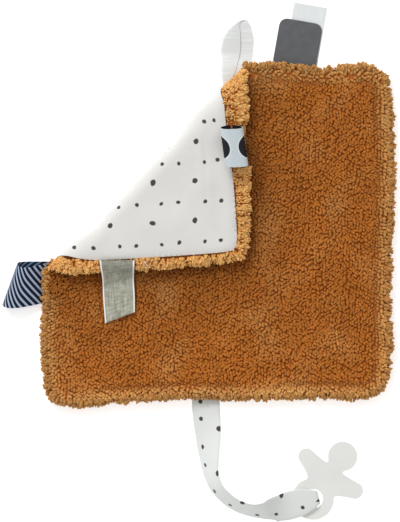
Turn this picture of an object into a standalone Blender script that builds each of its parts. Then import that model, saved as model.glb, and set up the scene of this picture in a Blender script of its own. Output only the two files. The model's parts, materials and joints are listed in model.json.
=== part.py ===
"""Comfort blanket with one corner folded over, ribbon loops round its edge and a dummy strap.

Metres, +Z up. The blanket lies flat, plush side up. The origin is the middle of the blanket,
on the underside of its cotton back.
"""
import math

import bmesh
import bpy
from mathutils import Matrix, Vector

# Blanket: a square of teddy plush sewn to a square of printed cotton
BLANKET_WIDTH = 0.250
BLANKET_HEIGHT = 0.243
COTTON_THICKNESS = 0.0006
PLUSH_THICKNESS = 0.0074
PLUSH_EDGE_RADIUS = 0.0036
COTTON_INSET = 0.0068
THREAD_RADIUS = 0.00024
GAP = 0.0003
FLOOR_LIFT = 0.0001
ROOT_TUCK = 0.0012

# The outline of the unfolded blanket, as shares of its width and height, clockwise from the top
OUTLINE_SHARES = [
    (0.077, 0.495), (0.177, 0.498), (0.265, 0.488), (0.345, 0.489), (0.408, 0.496),
    (0.453, 0.484), (0.484, 0.455), (0.493, 0.400), (0.500, 0.280), (0.500, 0.120),
    (0.494, -0.060), (0.492, -0.200), (0.494, -0.350), (0.482, -0.436), (0.453, -0.468),
    (0.410, -0.484), (0.300, -0.481), (0.092, -0.486), (-0.100, -0.483), (-0.250, -0.492),
    (-0.388, -0.504), (-0.445, -0.499), (-0.480, -0.470), (-0.494, -0.410), (-0.500, -0.300),
    (-0.490, -0.165), (-0.480, -0.121), (-0.479, -0.030), (-0.481, 0.100), (-0.480, 0.300),
    (-0.476, 0.415), (-0.459, 0.451), (-0.420, 0.468), (-0.300, 0.478), (-0.120, 0.485),
]
OUTLINE_STEPS = 3

# The fold line, from near the left edge to near the top edge, as shares of width and height
FOLD_LEFT_SHARES = (-0.451, -0.088)
FOLD_TOP_SHARES = (0.029, 0.441)
NOSE_STEPS = 7
NOSE_OVERRUN = 0.0001
CUT_LENGTH = BLANKET_WIDTH + BLANKET_HEIGHT
CUT_OVERRUN = 0.002

RIBBON_THICKNESS = 0.0005

# Dot ribbon: a loop that stands on the flap's right seam. The side table goes once round the
# loop, as shares of its half spread and its height.
DOT_RIBBON_WIDTH = 0.0270
DOT_LOOP_SPREAD = 0.0186
DOT_LOOP_HEIGHT = 0.0112
DOT_LOOP_ROOT = 0.0012
DOT_RIBBON_INSET = 0.0028
DOT_RIBBON_LIFT = 0.0007
DOT_RIBBON_LEAN_SHARE = 0.24
DOT_RIBBON_PLACE_SHARE = 0.262
DOT_LOOP_SHARES = [(0.45, 0.10), (0.85, 0.33), (1.00, 0.60), (0.82, 0.86), (0.42, 0.98)]

# Grey ribbon: a flat loop that hangs from the flap's lower seam over the plush. Its drop off the
# flap's rim goes by half thicknesses of the loop out from the rim, and shares of the fall.
GREY_RIBBON_WIDTH = 0.0250
GREY_RIBBON_LENGTH = 0.0450
GREY_RIBBON_SLANT = 0.0080
GREY_LAYER_SPACING = 0.0010
GREY_RIBBON_PLACE_SHARE = -0.286
GREY_DROP_SHARES = [(-1, 0.18), (1, 0.50), (3, 0.86), (6, 1.00)]

# Stripe ribbon: a loop that lies beside the blanket's left seam and stays open. The side table
# goes once round the loop, as shares of its length and its height.
STRIPE_RIBBON_WIDTH = 0.0275
STRIPE_LOOP_LENGTH = 0.0250
STRIPE_LOOP_HEIGHT = 0.0088
STRIPE_LOOP_ROOT = 0.0010
STRIPE_RIBBON_LEAN_SHARE = 0.42
STRIPE_RIBBON_SKEW = 0.0105
STRIPE_RIBBON_PLACE_SHARE = -0.148
STRIPE_LOOP_SHARES = [
    (0.30, 0.00), (0.60, 0.00), (0.84, 0.05), (0.97, 0.24), (1.00, 0.50), (0.94, 0.78),
    (0.79, 0.95), (0.62, 1.00), (0.44, 0.90), (0.27, 0.68), (0.12, 0.38)]

# White satin ribbon: a loop folded along its length, at the top end of the fold. Each row of the
# first table is a place along it, then its fold, its free lip and its far edge across, and its
# rise. The second is how much of that rise each point has, from the lip round to the far edge.
SATIN_LENGTH = 0.0293
SATIN_WIDTH = 0.0236
SATIN_HEIGHT = 0.0042
SATIN_PLACE_SHARE = 0.058
SATIN_SHARES = [
    (0.00, -0.02, 0.14, 0.42, 0.25), (0.12, -0.36, 0.06, 0.43, 0.60), (0.30, -0.50, 0.07, 0.44, 0.95),
    (0.52, -0.46, 0.07, 0.47, 1.00), (0.76, -0.29, 0.08, 0.47, 0.85), (0.92, -0.05, 0.16, 0.42, 0.55),
    (1.00, 0.16, 0.24, 0.35, 0.30)]
SATIN_RISE_SHARES = (1.00, 0.96, 0.82, 0.45, 0.08, 0.00, 0.00)
SATIN_FOLD_ROUND_SHARE = 0.06

# Care label, and the rounded tag that lies on it
LABEL_WIDTH = 0.0240
LABEL_LENGTH = 0.0440
LABEL_THICKNESS = 0.0004
LABEL_OFFSET = 0.0045
TAG_WIDTH = 0.0310
TAG_LENGTH = 0.0312
TAG_THICKNESS = 0.0007
TAG_CORNER_RADIUS = 0.0055
TAG_TURN_DEGREES = -9.9
TAG_PLACE_SHARE = 0.216

# Dummy strap: a flattened cotton tube that curls away from the lower seam. The route table gives
# each place as shares of the strap's length, then its roll and its lift off the floor.
STRAP_WIDTH = 0.0200
STRAP_THICKNESS = 0.0018
STRAP_LENGTH = 0.1240
STRAP_PLACE_SHARE = -0.034
STRAP_ROLL_DEGREES = 64
STRAP_ROUTE_SHARES = [
    (0.000, 0.000, 0.00, 0.00), (0.004, -0.098, 0.12, 0.00), (0.015, -0.210, 0.40, 0.00),
    (0.020, -0.305, 0.66, 0.00), (0.025, -0.385, 0.84, 0.00), (0.036, -0.452, 0.95, 0.00),
    (0.066, -0.522, 1.00, 0.00), (0.122, -0.583, 1.00, 0.00), (0.194, -0.629, 1.00, 0.00),
    (0.269, -0.653, 0.98, 0.08), (0.334, -0.657, 0.80, 0.48), (0.387, -0.650, 0.40, 0.86)]
STRAP_RING_SHARES = (0.620, -0.588)
STRAP_END_DEGREES = 15
STRAP_RING_WIDTH_SHARE = 0.92
BIGHT_REACH_SHARE = 0.6
BIGHT_FLARE_SHARE = 1.25
TAIL_LENGTH = 0.0330
TAIL_SKEW_DEGREES = 4
TAIL_FLARE_PLACE_SHARE = 0.18
TAIL_WIDTH_SHARES = [(0.42, 0.88), (0.70, 0.92), (0.95, 0.90), (1.00, 0.84)]
PATCH_WIDTH = 0.0140
PATCH_LENGTH = 0.0075
PATCH_THICKNESS = 0.0008

# Dummy card: a flat dummy shape with a ring, two wings and a round head
CARD_RING_RADIUS = 0.0150
CARD_HOLE_RADIUS = 0.0072
CARD_HEAD_RADIUS = 0.0106
CARD_REACH = 0.0370
CARD_WING_REACH = 0.0212
CARD_WING_RADIUS = 0.0059
CARD_WING_PLACE_SHARE = 0.595
CARD_LOWER_NOTCH_SHARES = (0.330, 0.375)
CARD_UPPER_NOTCH_SHARES = (0.725, 0.205)
CARD_THICKNESS = 0.0012
CARD_EDGE = 0.00015
CARD_TURN_DEGREES = 54.8
CARD_TILT_DEGREES = 2.5


def clear_scene():
    """Removes whatever the opened file holds."""
    for obj in list(bpy.data.objects):
        bpy.data.objects.remove(obj)


def new_collection(name):
    made = bpy.data.collections.new(name)
    bpy.context.scene.collection.children.link(made)
    return made


def material(name, red, green, blue, roughness):
    """A Principled material from a colour in 0 to 255 sRGB values."""
    shares = [channel / 255 for channel in (red, green, blue)]
    linear = [s / 12.92 if s <= 0.04045 else ((s + 0.055) / 1.055) ** 2.4 for s in shares]
    made = bpy.data.materials.new(name)
    made.use_nodes = True
    shader = made.node_tree.nodes["Principled BSDF"]
    shader.inputs["Base Color"].default_value = (*linear, 1)
    shader.inputs["Roughness"].default_value = roughness
    shader.inputs["Metallic"].default_value = 0
    return made


clear_scene()
PARTS = new_collection("comfort_blanket_lovey")
CUTTERS = new_collection("cutters")
CUTTERS.hide_render = True

PLUSH = material("caramel_plush", 178, 112, 48, 0.95)
COTTON = material("dotted_cotton", 236, 234, 228, 0.85)
THREAD = material("brown_thread", 140, 92, 50, 0.7)
DOT_WEAVE = material("dot_ribbon", 201, 211, 216, 0.5)
GREY_WEAVE = material("grey_ribbon", 170, 174, 164, 0.6)
STRIPE_WEAVE = material("stripe_ribbon", 60, 72, 98, 0.5)
SATIN = material("white_satin", 238, 240, 240, 0.35)
TAG = material("grey_tag", 90, 91, 93, 0.55)
PATCH = material("white_patch", 232, 232, 228, 0.8)
CARD = material("white_card", 228, 229, 225, 0.45)
GUIDE = material("guide", 128, 128, 128, 1)


# Curves and outlines, in plan

def smooth_closed(points, steps):
    """A smooth curve through a closed list of points."""
    wrapped = [points[-1], *points, points[0], points[1]]
    return smooth_pieces(wrapped, steps)


def smooth_open(points, steps):
    """A smooth curve through an open list of points, ends included."""
    wrapped = [points[0], *points, points[-1]]
    return smooth_pieces(wrapped, steps) + [Vector(points[-1])]


def smooth_pieces(points, steps):
    """Catmull-Rom curves between the inner points of a list."""
    curve = []
    for index in range(1, len(points) - 2):
        before, start, end, after = (Vector(point) for point in points[index - 1:index + 3])
        for step in range(steps):
            t = step / steps
            bend = 2 * before - 5 * start + 4 * end - after
            turn = 3 * start - before - 3 * end + after
            curve.append((2 * start + (end - before) * t + bend * t ** 2 + turn * t ** 3) / 2)
    return curve


def inset(outline, distance):
    """A clockwise outline moved inwards by a distance."""
    moved = []
    for index, point in enumerate(outline):
        along = outline[(index + 1) % len(outline)] - outline[index - 1]
        inward = Vector((along.y, -along.x)).normalized()
        moved.append(point + inward * distance)
    return moved


def hit(outline, start, direction):
    """The farthest point where a ray from start crosses the outline."""
    across = Vector((-direction.y, direction.x))
    crossings = []
    for index, point in enumerate(outline):
        ahead = outline[(index + 1) % len(outline)]
        near = (point - start).dot(across)
        far = (ahead - start).dot(across)
        if near * far <= 0 and near != far:
            crossings.append(point + (ahead - point) * near / (near - far))
    return max(crossings, key=lambda crossing: (crossing - start).dot(direction))


def arc(centre, radius, first, last, steps):
    """Points on an arc in plan, between two angles in degrees."""
    turns = [math.radians(first + (last - first) * k / steps) for k in range(steps + 1)]
    return [centre + radius * Vector((math.cos(turn), math.sin(turn))) for turn in turns]


def direction(degrees):
    """A unit vector in plan."""
    return Vector((math.cos(math.radians(degrees)), math.sin(math.radians(degrees))))


# Heights of the layers. The cotton back lies on the floor, with the plush above it.
PLUSH_LOW = COTTON_THICKNESS + GAP
PLUSH_TOP = PLUSH_LOW + PLUSH_THICKNESS
FOLD_HEIGHT = PLUSH_TOP + GAP / 2
FLAP_TOP = 2 * FOLD_HEIGHT

OUTLINE = smooth_closed(
    [(x * BLANKET_WIDTH, y * BLANKET_HEIGHT) for x, y in OUTLINE_SHARES], OUTLINE_STEPS)

# The fold's own frame: X along the fold, Y towards the blanket, Z up from the floor
FOLD_LEFT = Vector((FOLD_LEFT_SHARES[0] * BLANKET_WIDTH, FOLD_LEFT_SHARES[1] * BLANKET_HEIGHT))
FOLD_TOP = Vector((FOLD_TOP_SHARES[0] * BLANKET_WIDTH, FOLD_TOP_SHARES[1] * BLANKET_HEIGHT))
FOLD_MIDDLE = (FOLD_LEFT + FOLD_TOP) / 2
FOLD_ALONG = (FOLD_TOP - FOLD_LEFT).normalized()
FOLD_INWARD = Vector((FOLD_ALONG.y, -FOLD_ALONG.x))
FOLD_HINGE = Vector((*FOLD_MIDDLE, FOLD_HEIGHT))
NOSE_TIP = GAP / 2 + COTTON_THICKNESS + GAP
NOSE_CENTRE = NOSE_TIP + PLUSH_THICKNESS
COTTON_BEND = PLUSH_THICKNESS + GAP + COTTON_THICKNESS / 2


def from_fold(point):
    """How far a point in plan lies from the fold line, towards the blanket."""
    return (point - FOLD_MIDDLE).dot(FOLD_INWARD)


def fold_matrix():
    """Takes the fold's own frame to the world. It mirrors too, so faces are turned out after it."""
    rows = [(FOLD_ALONG[k], FOLD_INWARD[k], 0, FOLD_MIDDLE[k]) for k in range(2)]
    return Matrix((*rows, (0, 0, 1, 0), (0, 0, 0, 1)))


def fold_over(*pieces):
    """Turns pieces of the unfolded corner half a turn about the fold, onto the blanket."""
    turn = Matrix.Rotation(math.pi, 4, FOLD_ALONG.to_3d())
    over = Matrix.Translation(FOLD_HINGE) @ turn @ Matrix.Translation(-FOLD_HINGE)
    for piece in pieces:
        piece.data.transform(over)


# The flap's outline as it lies folded over, seen from above
FLAP_OUTLINE = [point - 2 * from_fold(point) * FOLD_INWARD for point in reversed(OUTLINE)]


def tuck(top):
    """How far a root with its top at this height goes in under the round plush edge."""
    clear = PLUSH_EDGE_RADIUS - max(0, top + GAP - PLUSH_LOW)
    reach = PLUSH_EDGE_RADIUS - math.sqrt(PLUSH_EDGE_RADIUS ** 2 - clear ** 2)
    return min(reach, ROOT_TUCK)


# Objects

def mesh_object(name, shape, base):
    """Makes a bmesh an object of the blanket, with its faces pointing outwards."""
    bmesh.ops.recalc_face_normals(shape, faces=shape.faces)
    data = bpy.data.meshes.new(name)
    shape.to_mesh(data)
    shape.free()
    data.materials.append(base)
    obj = bpy.data.objects.new(name, data)
    PARTS.objects.link(obj)
    return obj


def curve_solid(name, data, place, base):
    """Makes the shape of a curve a mesh object, with its caps welded."""
    curve = bpy.data.objects.new(name + "_curve", data)
    bpy.context.scene.collection.objects.link(curve)
    curve.location = place
    bpy.context.view_layer.update()
    evaluated = curve.evaluated_get(bpy.context.evaluated_depsgraph_get())
    made = bpy.data.meshes.new_from_object(evaluated)
    shape = bmesh.new()
    shape.from_mesh(made)
    bmesh.ops.remove_doubles(shape, verts=shape.verts, dist=GAP / 30)
    shape.transform(curve.matrix_world)
    bpy.data.meshes.remove(made)
    bpy.data.objects.remove(curve)
    return mesh_object(name, shape, base)


def flat_solid(name, outlines, thickness, edge, low, base):
    """A flat piece with round edges, from closed outlines in plan, standing on a height."""
    data = bpy.data.curves.new(name, "CURVE")
    data.dimensions = "2D"
    data.fill_mode = "BOTH"
    data.bevel_depth = edge
    data.bevel_resolution = 2
    data.offset = -edge
    data.extrude = thickness / 2 - edge
    for outline in outlines:
        spline = data.splines.new("POLY")
        spline.points.add(len(outline) - 1)
        for knot, point in zip(spline.points, outline):
            knot.co = (point.x, point.y, 0, 1)
        spline.use_cyclic_u = True
    return curve_solid(name, data, (0, 0, low + thickness / 2), base)


def tube(name, path, radius, base):
    """A thin round tube along a list of points."""
    data = bpy.data.curves.new(name, "CURVE")
    data.dimensions = "3D"
    data.bevel_depth = radius
    data.bevel_resolution = 1
    data.use_fill_caps = True
    spline = data.splines.new("POLY")
    spline.points.add(len(path) - 1)
    for knot, point in zip(spline.points, path):
        knot.co = (*point, 1)
    return curve_solid(name, data, (0, 0, 0), base)


def cloth_strip(name, rows, thickness, base):
    """A strip of cloth through rows of points, given its thickness."""
    columns = len(rows[0]) - 1
    lines = len(rows) - 1
    shape = bmesh.new()
    bmesh.ops.create_grid(shape, x_segments=columns, y_segments=lines, size=1)
    for vert in shape.verts:
        column = round((vert.co.x + 1) / 2 * columns)
        line = round((vert.co.y + 1) / 2 * lines)
        vert.co = rows[line][column]
    strip = mesh_object(name, shape, base)
    solid = strip.modifiers.new("cloth", "SOLIDIFY")
    solid.thickness = thickness
    solid.offset = 0
    solid.use_even_offset = True
    return strip


def hinge(name, place):
    """An empty on a joint's axis, which carries the pieces that move with it."""
    empty = bpy.data.objects.new(name, None)
    empty.empty_display_size = GAP
    empty.location = place
    PARTS.objects.link(empty)
    return empty


def carry(empty, pieces):
    """Parents pieces to an empty and leaves them where they are."""
    bpy.context.view_layer.update()
    for piece in pieces:
        piece.parent = empty
        piece.matrix_parent_inverse = empty.matrix_world.inverted()


# The blanket and its folded corner

def fold_cutter(name, side):
    """A block that keeps one side of the fold, with the roll's quarter round in its edge."""
    profile = [(NOSE_TIP, PLUSH_TOP + CUT_OVERRUN)]
    for step in range(NOSE_STEPS + 1):
        turn = math.radians(90) * step / NOSE_STEPS
        profile.append((
            NOSE_CENTRE - PLUSH_THICKNESS * math.cos(turn),
            PLUSH_TOP - (PLUSH_THICKNESS + NOSE_OVERRUN) * math.sin(turn)))
    profile.append((CUT_LENGTH, profile[-1][1]))
    profile.append((CUT_LENGTH, profile[0][1]))
    shape = bmesh.new()
    corners = [shape.verts.new((-CUT_LENGTH / 2, side * y, z)) for y, z in profile]
    face = bmesh.ops.contextual_create(shape, geom=corners)["faces"][0]
    grown = bmesh.ops.extrude_face_region(shape, geom=[face])["geom"]
    far = [item for item in grown if isinstance(item, bmesh.types.BMVert)]
    bmesh.ops.translate(shape, verts=far, vec=(CUT_LENGTH, 0, 0))
    shape.transform(fold_matrix())
    block = mesh_object(name, shape, GUIDE)
    PARTS.objects.unlink(block)
    CUTTERS.objects.link(block)
    block.hide_render = True
    block.display_type = "WIRE"
    return block


def plush_face(name, side):
    """One side of the plush: a thick slab with round edges, rolled round at the fold."""
    slab = flat_solid(name, [OUTLINE], PLUSH_THICKNESS, PLUSH_EDGE_RADIUS, PLUSH_LOW, PLUSH)
    cut = slab.modifiers.new("fold", "BOOLEAN")
    cut.operation = "INTERSECT"
    cut.object = fold_cutter(name + "_side", side)
    bpy.context.view_layer.update()
    evaluated = slab.evaluated_get(bpy.context.evaluated_depsgraph_get())
    slab.data = bpy.data.meshes.new_from_object(evaluated)
    slab.modifiers.clear()
    return slab


def cotton_back(name, side):
    """One side of the cotton: a flat sheet that bends up round the roll to the fold's tip."""
    shape = bmesh.new()
    border = [shape.verts.new((*point, 0)) for point in inset(OUTLINE, COTTON_INSET)]
    bmesh.ops.contextual_create(shape, geom=border)
    shape.transform(fold_matrix().inverted())
    bend_length = math.radians(90) * COTTON_BEND
    for step in range(NOSE_STEPS + 1):
        bmesh.ops.bisect_plane(
            shape, geom=shape.verts[:] + shape.edges[:] + shape.faces[:], dist=GAP / 30,
            plane_co=(0, side * (NOSE_CENTRE - bend_length * step / NOSE_STEPS), 0),
            plane_no=(0, -side, 0), clear_outer=step == NOSE_STEPS)
    for vert in shape.verts:
        bend = max(0, (NOSE_CENTRE - side * vert.co.y) / COTTON_BEND)
        if bend > 0:
            vert.co.y = side * (NOSE_CENTRE - COTTON_BEND * math.sin(bend))
        vert.co.z = PLUSH_TOP - COTTON_BEND * math.cos(bend)
    shape.transform(fold_matrix())
    sheet = mesh_object(name, shape, COTTON)
    solid = sheet.modifiers.new("cloth", "SOLIDIFY")
    solid.thickness = COTTON_THICKNESS
    solid.offset = 0
    solid.use_even_offset = True
    return sheet


def seam_thread(name, side):
    """The seam's thread beside the cotton's edge, from one end of the fold to the other."""
    border = inset(OUTLINE, COTTON_INSET - GAP - THREAD_RADIUS)
    kept = [side * from_fold(point) > NOSE_CENTRE for point in border]
    first = next(k for k in range(len(border)) if kept[k] and not kept[k - 1])
    order = [(first + k) % len(border) for k in range(len(border))]
    height = PLUSH_LOW - GAP - THREAD_RADIUS
    return tube(name, [(*border[k], height) for k in order if kept[k]], THREAD_RADIUS, THREAD)


# The ribbons

def dot_ribbon():
    """Stands on the flap's right seam and leans a little towards the lower edge."""
    cotton_edge = inset(FLAP_OUTLINE, COTTON_INSET)
    level = Vector((FOLD_MIDDLE.x, DOT_RIBBON_PLACE_SHARE * BLANKET_HEIGHT))
    lower = hit(cotton_edge, level - Vector((0, DOT_RIBBON_WIDTH / 2)), Vector((1, 0)))
    upper = hit(cotton_edge, level + Vector((0, DOT_RIBBON_WIDTH / 2)), Vector((1, 0)))
    along = (upper - lower).normalized()
    out = Vector((along.y, -along.x))
    root = (upper + lower) / 2 - out * DOT_RIBBON_INSET
    floor = FLAP_TOP + DOT_RIBBON_LIFT + RIBBON_THICKNESS / 2
    right = [(x * DOT_LOOP_SPREAD / 2, z * DOT_LOOP_HEIGHT) for x, z in DOT_LOOP_SHARES]
    left = [(-x, z) for x, z in reversed(right)]
    foot = DOT_LOOP_ROOT / 2
    side = smooth_open([(foot, 0), *right, (0, DOT_LOOP_HEIGHT), *left, (-foot, 0)], 2)
    rows = []
    for end in (-DOT_RIBBON_WIDTH / 2, DOT_RIBBON_WIDTH / 2):
        plan = [root + out * spot.x + along * (end - DOT_RIBBON_LEAN_SHARE * spot.y) for spot in side]
        rows.append([Vector((*place, floor + spot.y)) for place, spot in zip(plan, side)])
    loop = cloth_strip("dot_ribbon_loop", rows, RIBBON_THICKNESS, DOT_WEAVE)
    pivot = hinge("dot_ribbon_hinge", (*root, floor))
    carry(pivot, [loop])
    return pivot


def doubled(path, spread):
    """Out along the lower side of a path, round its end and back along its upper side."""
    lower = []
    upper = []
    for index, point in enumerate(path):
        ahead = path[min(index + 1, len(path) - 1)]
        along = (ahead - path[max(index - 1, 0)]).normalized()
        normal = Vector((-along.y, along.x))
        lower.append(point - normal * spread)
        upper.append(point + normal * spread)
    return lower + arc(path[-1], spread, -54, 54, 3) + upper[::-1]


def grey_ribbon():
    """Leaves the flap's lower seam, crosses the plush rim and hangs down onto the blanket."""
    middle = Vector((GREY_RIBBON_PLACE_SHARE * BLANKET_WIDTH, 0))
    root = hit(inset(FLAP_OUTLINE, COTTON_INSET), middle, Vector((0, -1)))
    rim = root.y - hit(FLAP_OUTLINE, middle, Vector((0, -1))).y
    half = (GREY_LAYER_SPACING + RIBBON_THICKNESS) / 2
    high = FLAP_TOP + GAP + half
    low = PLUSH_TOP + GAP + half
    clear = rim + half + GAP
    drop = high - low
    fall = [(clear + half * out, high - drop * share) for out, share in GREY_DROP_SHARES]
    route = smooth_open([
        (0, high), (rim - PLUSH_EDGE_RADIUS, high), *fall,
        (GREY_RIBBON_LENGTH - GREY_RIBBON_SLANT, low)], 2)
    rows = []
    for side in (-1, 1):
        length = GREY_RIBBON_LENGTH - side * GREY_RIBBON_SLANT / 2
        profile = doubled([*route, Vector((length, low))], GREY_LAYER_SPACING / 2)
        place = middle.x + side * GREY_RIBBON_WIDTH / 2
        rows.append([Vector((place, root.y - point.x, point.y)) for point in profile])
    loop = cloth_strip("grey_ribbon_loop", rows, RIBBON_THICKNESS, GREY_WEAVE)
    pivot = hinge("grey_ribbon_hinge", (middle.x, root.y, high + half))
    carry(pivot, [loop])
    return pivot


def stripe_ribbon():
    """Lies beside the blanket's left seam as an open loop, skewed away from the fold."""
    low = FLOOR_LIFT + RIBBON_THICKNESS / 2
    top = low + STRIPE_LOOP_ROOT + RIBBON_THICKNESS / 2
    side = smooth_open([
        (0, 0), *[(x * STRIPE_LOOP_LENGTH, z * STRIPE_LOOP_HEIGHT) for x, z in STRIPE_LOOP_SHARES],
        (0, STRIPE_LOOP_ROOT)], 2)
    seams = []
    rows = []
    for end in (-0.5, 0.5):
        level = STRIPE_RIBBON_PLACE_SHARE * BLANKET_HEIGHT + end * STRIPE_RIBBON_WIDTH
        seam = hit(OUTLINE, Vector((0, level)), Vector((-1, 0)))
        row = []
        for out, rise in side:
            rise = max(0, rise)
            skew = STRIPE_RIBBON_SKEW * (end - 0.5) * out / STRIPE_LOOP_LENGTH
            row.append(Vector((
                seam.x + tuck(top) - out + skew, level - STRIPE_RIBBON_LEAN_SHARE * rise, low + rise)))
        seams.append(seam)
        rows.append(row)
    loop = cloth_strip("stripe_ribbon_loop", rows, RIBBON_THICKNESS, STRIPE_WEAVE)
    middle = (seams[0] + seams[1]) / 2
    carry(hinge("stripe_ribbon_hinge", (middle.x - GAP, middle.y, top)), [loop])


def satin_ribbon():
    """A satin loop that opens to the right, held at the top end of the fold.

    Its lip's root stops at the fold's end, and its far edge's root goes in under the round edge.
    """
    level = Vector((SATIN_PLACE_SHARE * BLANKET_WIDTH, 0))
    lip_root = Vector((level.x + SATIN_SHARES[0][2] * SATIN_WIDTH, 0))
    seam = hit(OUTLINE, lip_root, Vector((0, 1)))
    low = FLOOR_LIFT + RIBBON_THICKNESS / 2
    top = low + SATIN_SHARES[0][4] * SATIN_HEIGHT + RIBBON_THICKNESS / 2
    rows = []
    for place, fold, lip, far, rise in SATIN_SHARES:
        y = seam.y - tuck(top) + place * SATIN_LENGTH
        high = rise * SATIN_HEIGHT
        turned = fold + SATIN_FOLD_ROUND_SHARE
        across = (lip, (lip + fold) / 2, turned, fold, turned, (far + fold) / 2, far)
        section = smooth_open([(x, high * share) for x, share in zip(across, SATIN_RISE_SHARES)], 2)
        row = []
        for x, z in section:
            under = PLUSH_EDGE_RADIUS * max(0, x - lip) / (far - lip) if place == 0 else 0
            row.append(Vector((level.x + x * SATIN_WIDTH, y - under, low + max(0, z))))
        rows.append(row)
    loop = cloth_strip("white_satin_loop", rows, RIBBON_THICKNESS, SATIN)
    carry(hinge("satin_ribbon_hinge", (level.x, seam.y + GAP, top)), [loop])


# The label and the tag

def label_outline(width, length, radius, offset, seam, under):
    """A strip in plan from under the seam to two round corners, clockwise."""
    along = direction(90 + TAG_TURN_DEGREES)
    across = Vector((along.y, -along.x))
    sides = [seam + across * (offset + side * width / 2) for side in (-1, 1)]
    roots = [hit(OUTLINE, side, along) - along * under for side in sides]
    tip = along * (length - radius)
    turn = TAG_TURN_DEGREES
    return [roots[0], *arc(sides[0] + across * radius + tip, radius, 180 + turn, 90 + turn, 4),
            *arc(sides[1] - across * radius + tip, radius, 90 + turn, turn, 4), roots[1]]


def care_label_and_tag():
    """The satin care label lies on the floor and the tag lies on the label.

    The tag turns about the line where it meets the seam, and the label about the line above it.
    """
    level = Vector((TAG_PLACE_SHARE * BLANKET_WIDTH, 0))
    seam = hit(OUTLINE, level, Vector((0, 1)))
    tag_low = FLOOR_LIFT + LABEL_THICKNESS + GAP
    tag_top = tag_low + TAG_THICKNESS
    label_edge = label_outline(
        LABEL_WIDTH, LABEL_LENGTH, LABEL_THICKNESS, LABEL_OFFSET, seam, tuck(tag_top))
    tag_edge = label_outline(TAG_WIDTH, TAG_LENGTH, TAG_CORNER_RADIUS, 0, seam, 0)
    label = flat_solid(
        "care_label", [label_edge], LABEL_THICKNESS, LABEL_THICKNESS / 4, FLOOR_LIFT, SATIN)
    tag = flat_solid("blank_tag", [tag_edge], TAG_THICKNESS, TAG_THICKNESS / 4, tag_low, TAG)
    root = (tag_edge[0] + tag_edge[-1]) / 2
    pivot = hinge("care_label_hinge", (*root, tag_top))
    tag_pivot = hinge("blank_tag_hinge", (*root, tag_low))
    carry(tag_pivot, [tag])
    carry(pivot, [label, tag_pivot])


# The dummy strap and its card

TAIL_TOP = FLOOR_LIFT + STRAP_THICKNESS
PATCH_STACK = 3 * GAP + 2 * PATCH_THICKNESS
END_LOW = TAIL_TOP + PATCH_STACK
BIGHT_RADIUS = (END_LOW - FLOOR_LIFT) / 2
BIGHT_TIP = BIGHT_REACH_SHARE * CARD_HOLE_RADIUS
BIGHT_CENTRE = BIGHT_TIP - BIGHT_RADIUS - STRAP_THICKNESS / 2
BIGHT_WIDTH = 2 * (math.sqrt(CARD_HOLE_RADIUS ** 2 - BIGHT_TIP ** 2) - 2 * GAP)
TAIL_START = BIGHT_CENTRE - GAP - BIGHT_WIDTH / 2 * math.sin(math.radians(TAIL_SKEW_DEGREES))
STRAP_FLAT = CARD_RING_RADIUS + 4 * GAP + PATCH_LENGTH

STRAP_SEAM = hit(OUTLINE, Vector((STRAP_PLACE_SHARE * BLANKET_WIDTH, 0)), Vector((0, -1)))
STRAP_ROOT = STRAP_SEAM + Vector((0, tuck(TAIL_TOP + GAP)))
RING_CENTRE = STRAP_ROOT + Vector(STRAP_RING_SHARES) * STRAP_LENGTH
STRAP_END = direction(STRAP_END_DEGREES)


def flat_oval(width, thickness):
    """The section of a flattened tube: half round at both edges, as across and up."""
    middle = (width - thickness) / 2
    right = arc(Vector((middle, 0)), thickness / 2, -90, 90, 4)
    left = arc(Vector((-middle, 0)), thickness / 2, 90, 270, 4)
    return right + left


def loft(name, stations, base):
    """A flattened tube through stations of centre, across vector, up vector and width."""
    shape = bmesh.new()
    loops = []
    for centre, across, up, width in stations:
        section = flat_oval(width, STRAP_THICKNESS)
        verts = [shape.verts.new(centre + across * point.x + up * point.y) for point in section]
        edges = [shape.edges.new((verts[k - 1], verts[k])) for k in range(len(verts))]
        if loops:
            bmesh.ops.bridge_loops(shape, edges=loops[-1] + edges)
        loops.append(edges)
    for rim in (loops[0], loops[-1]):
        bmesh.ops.contextual_create(shape, geom=rim)
    return mesh_object(name, shape, base)


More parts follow.
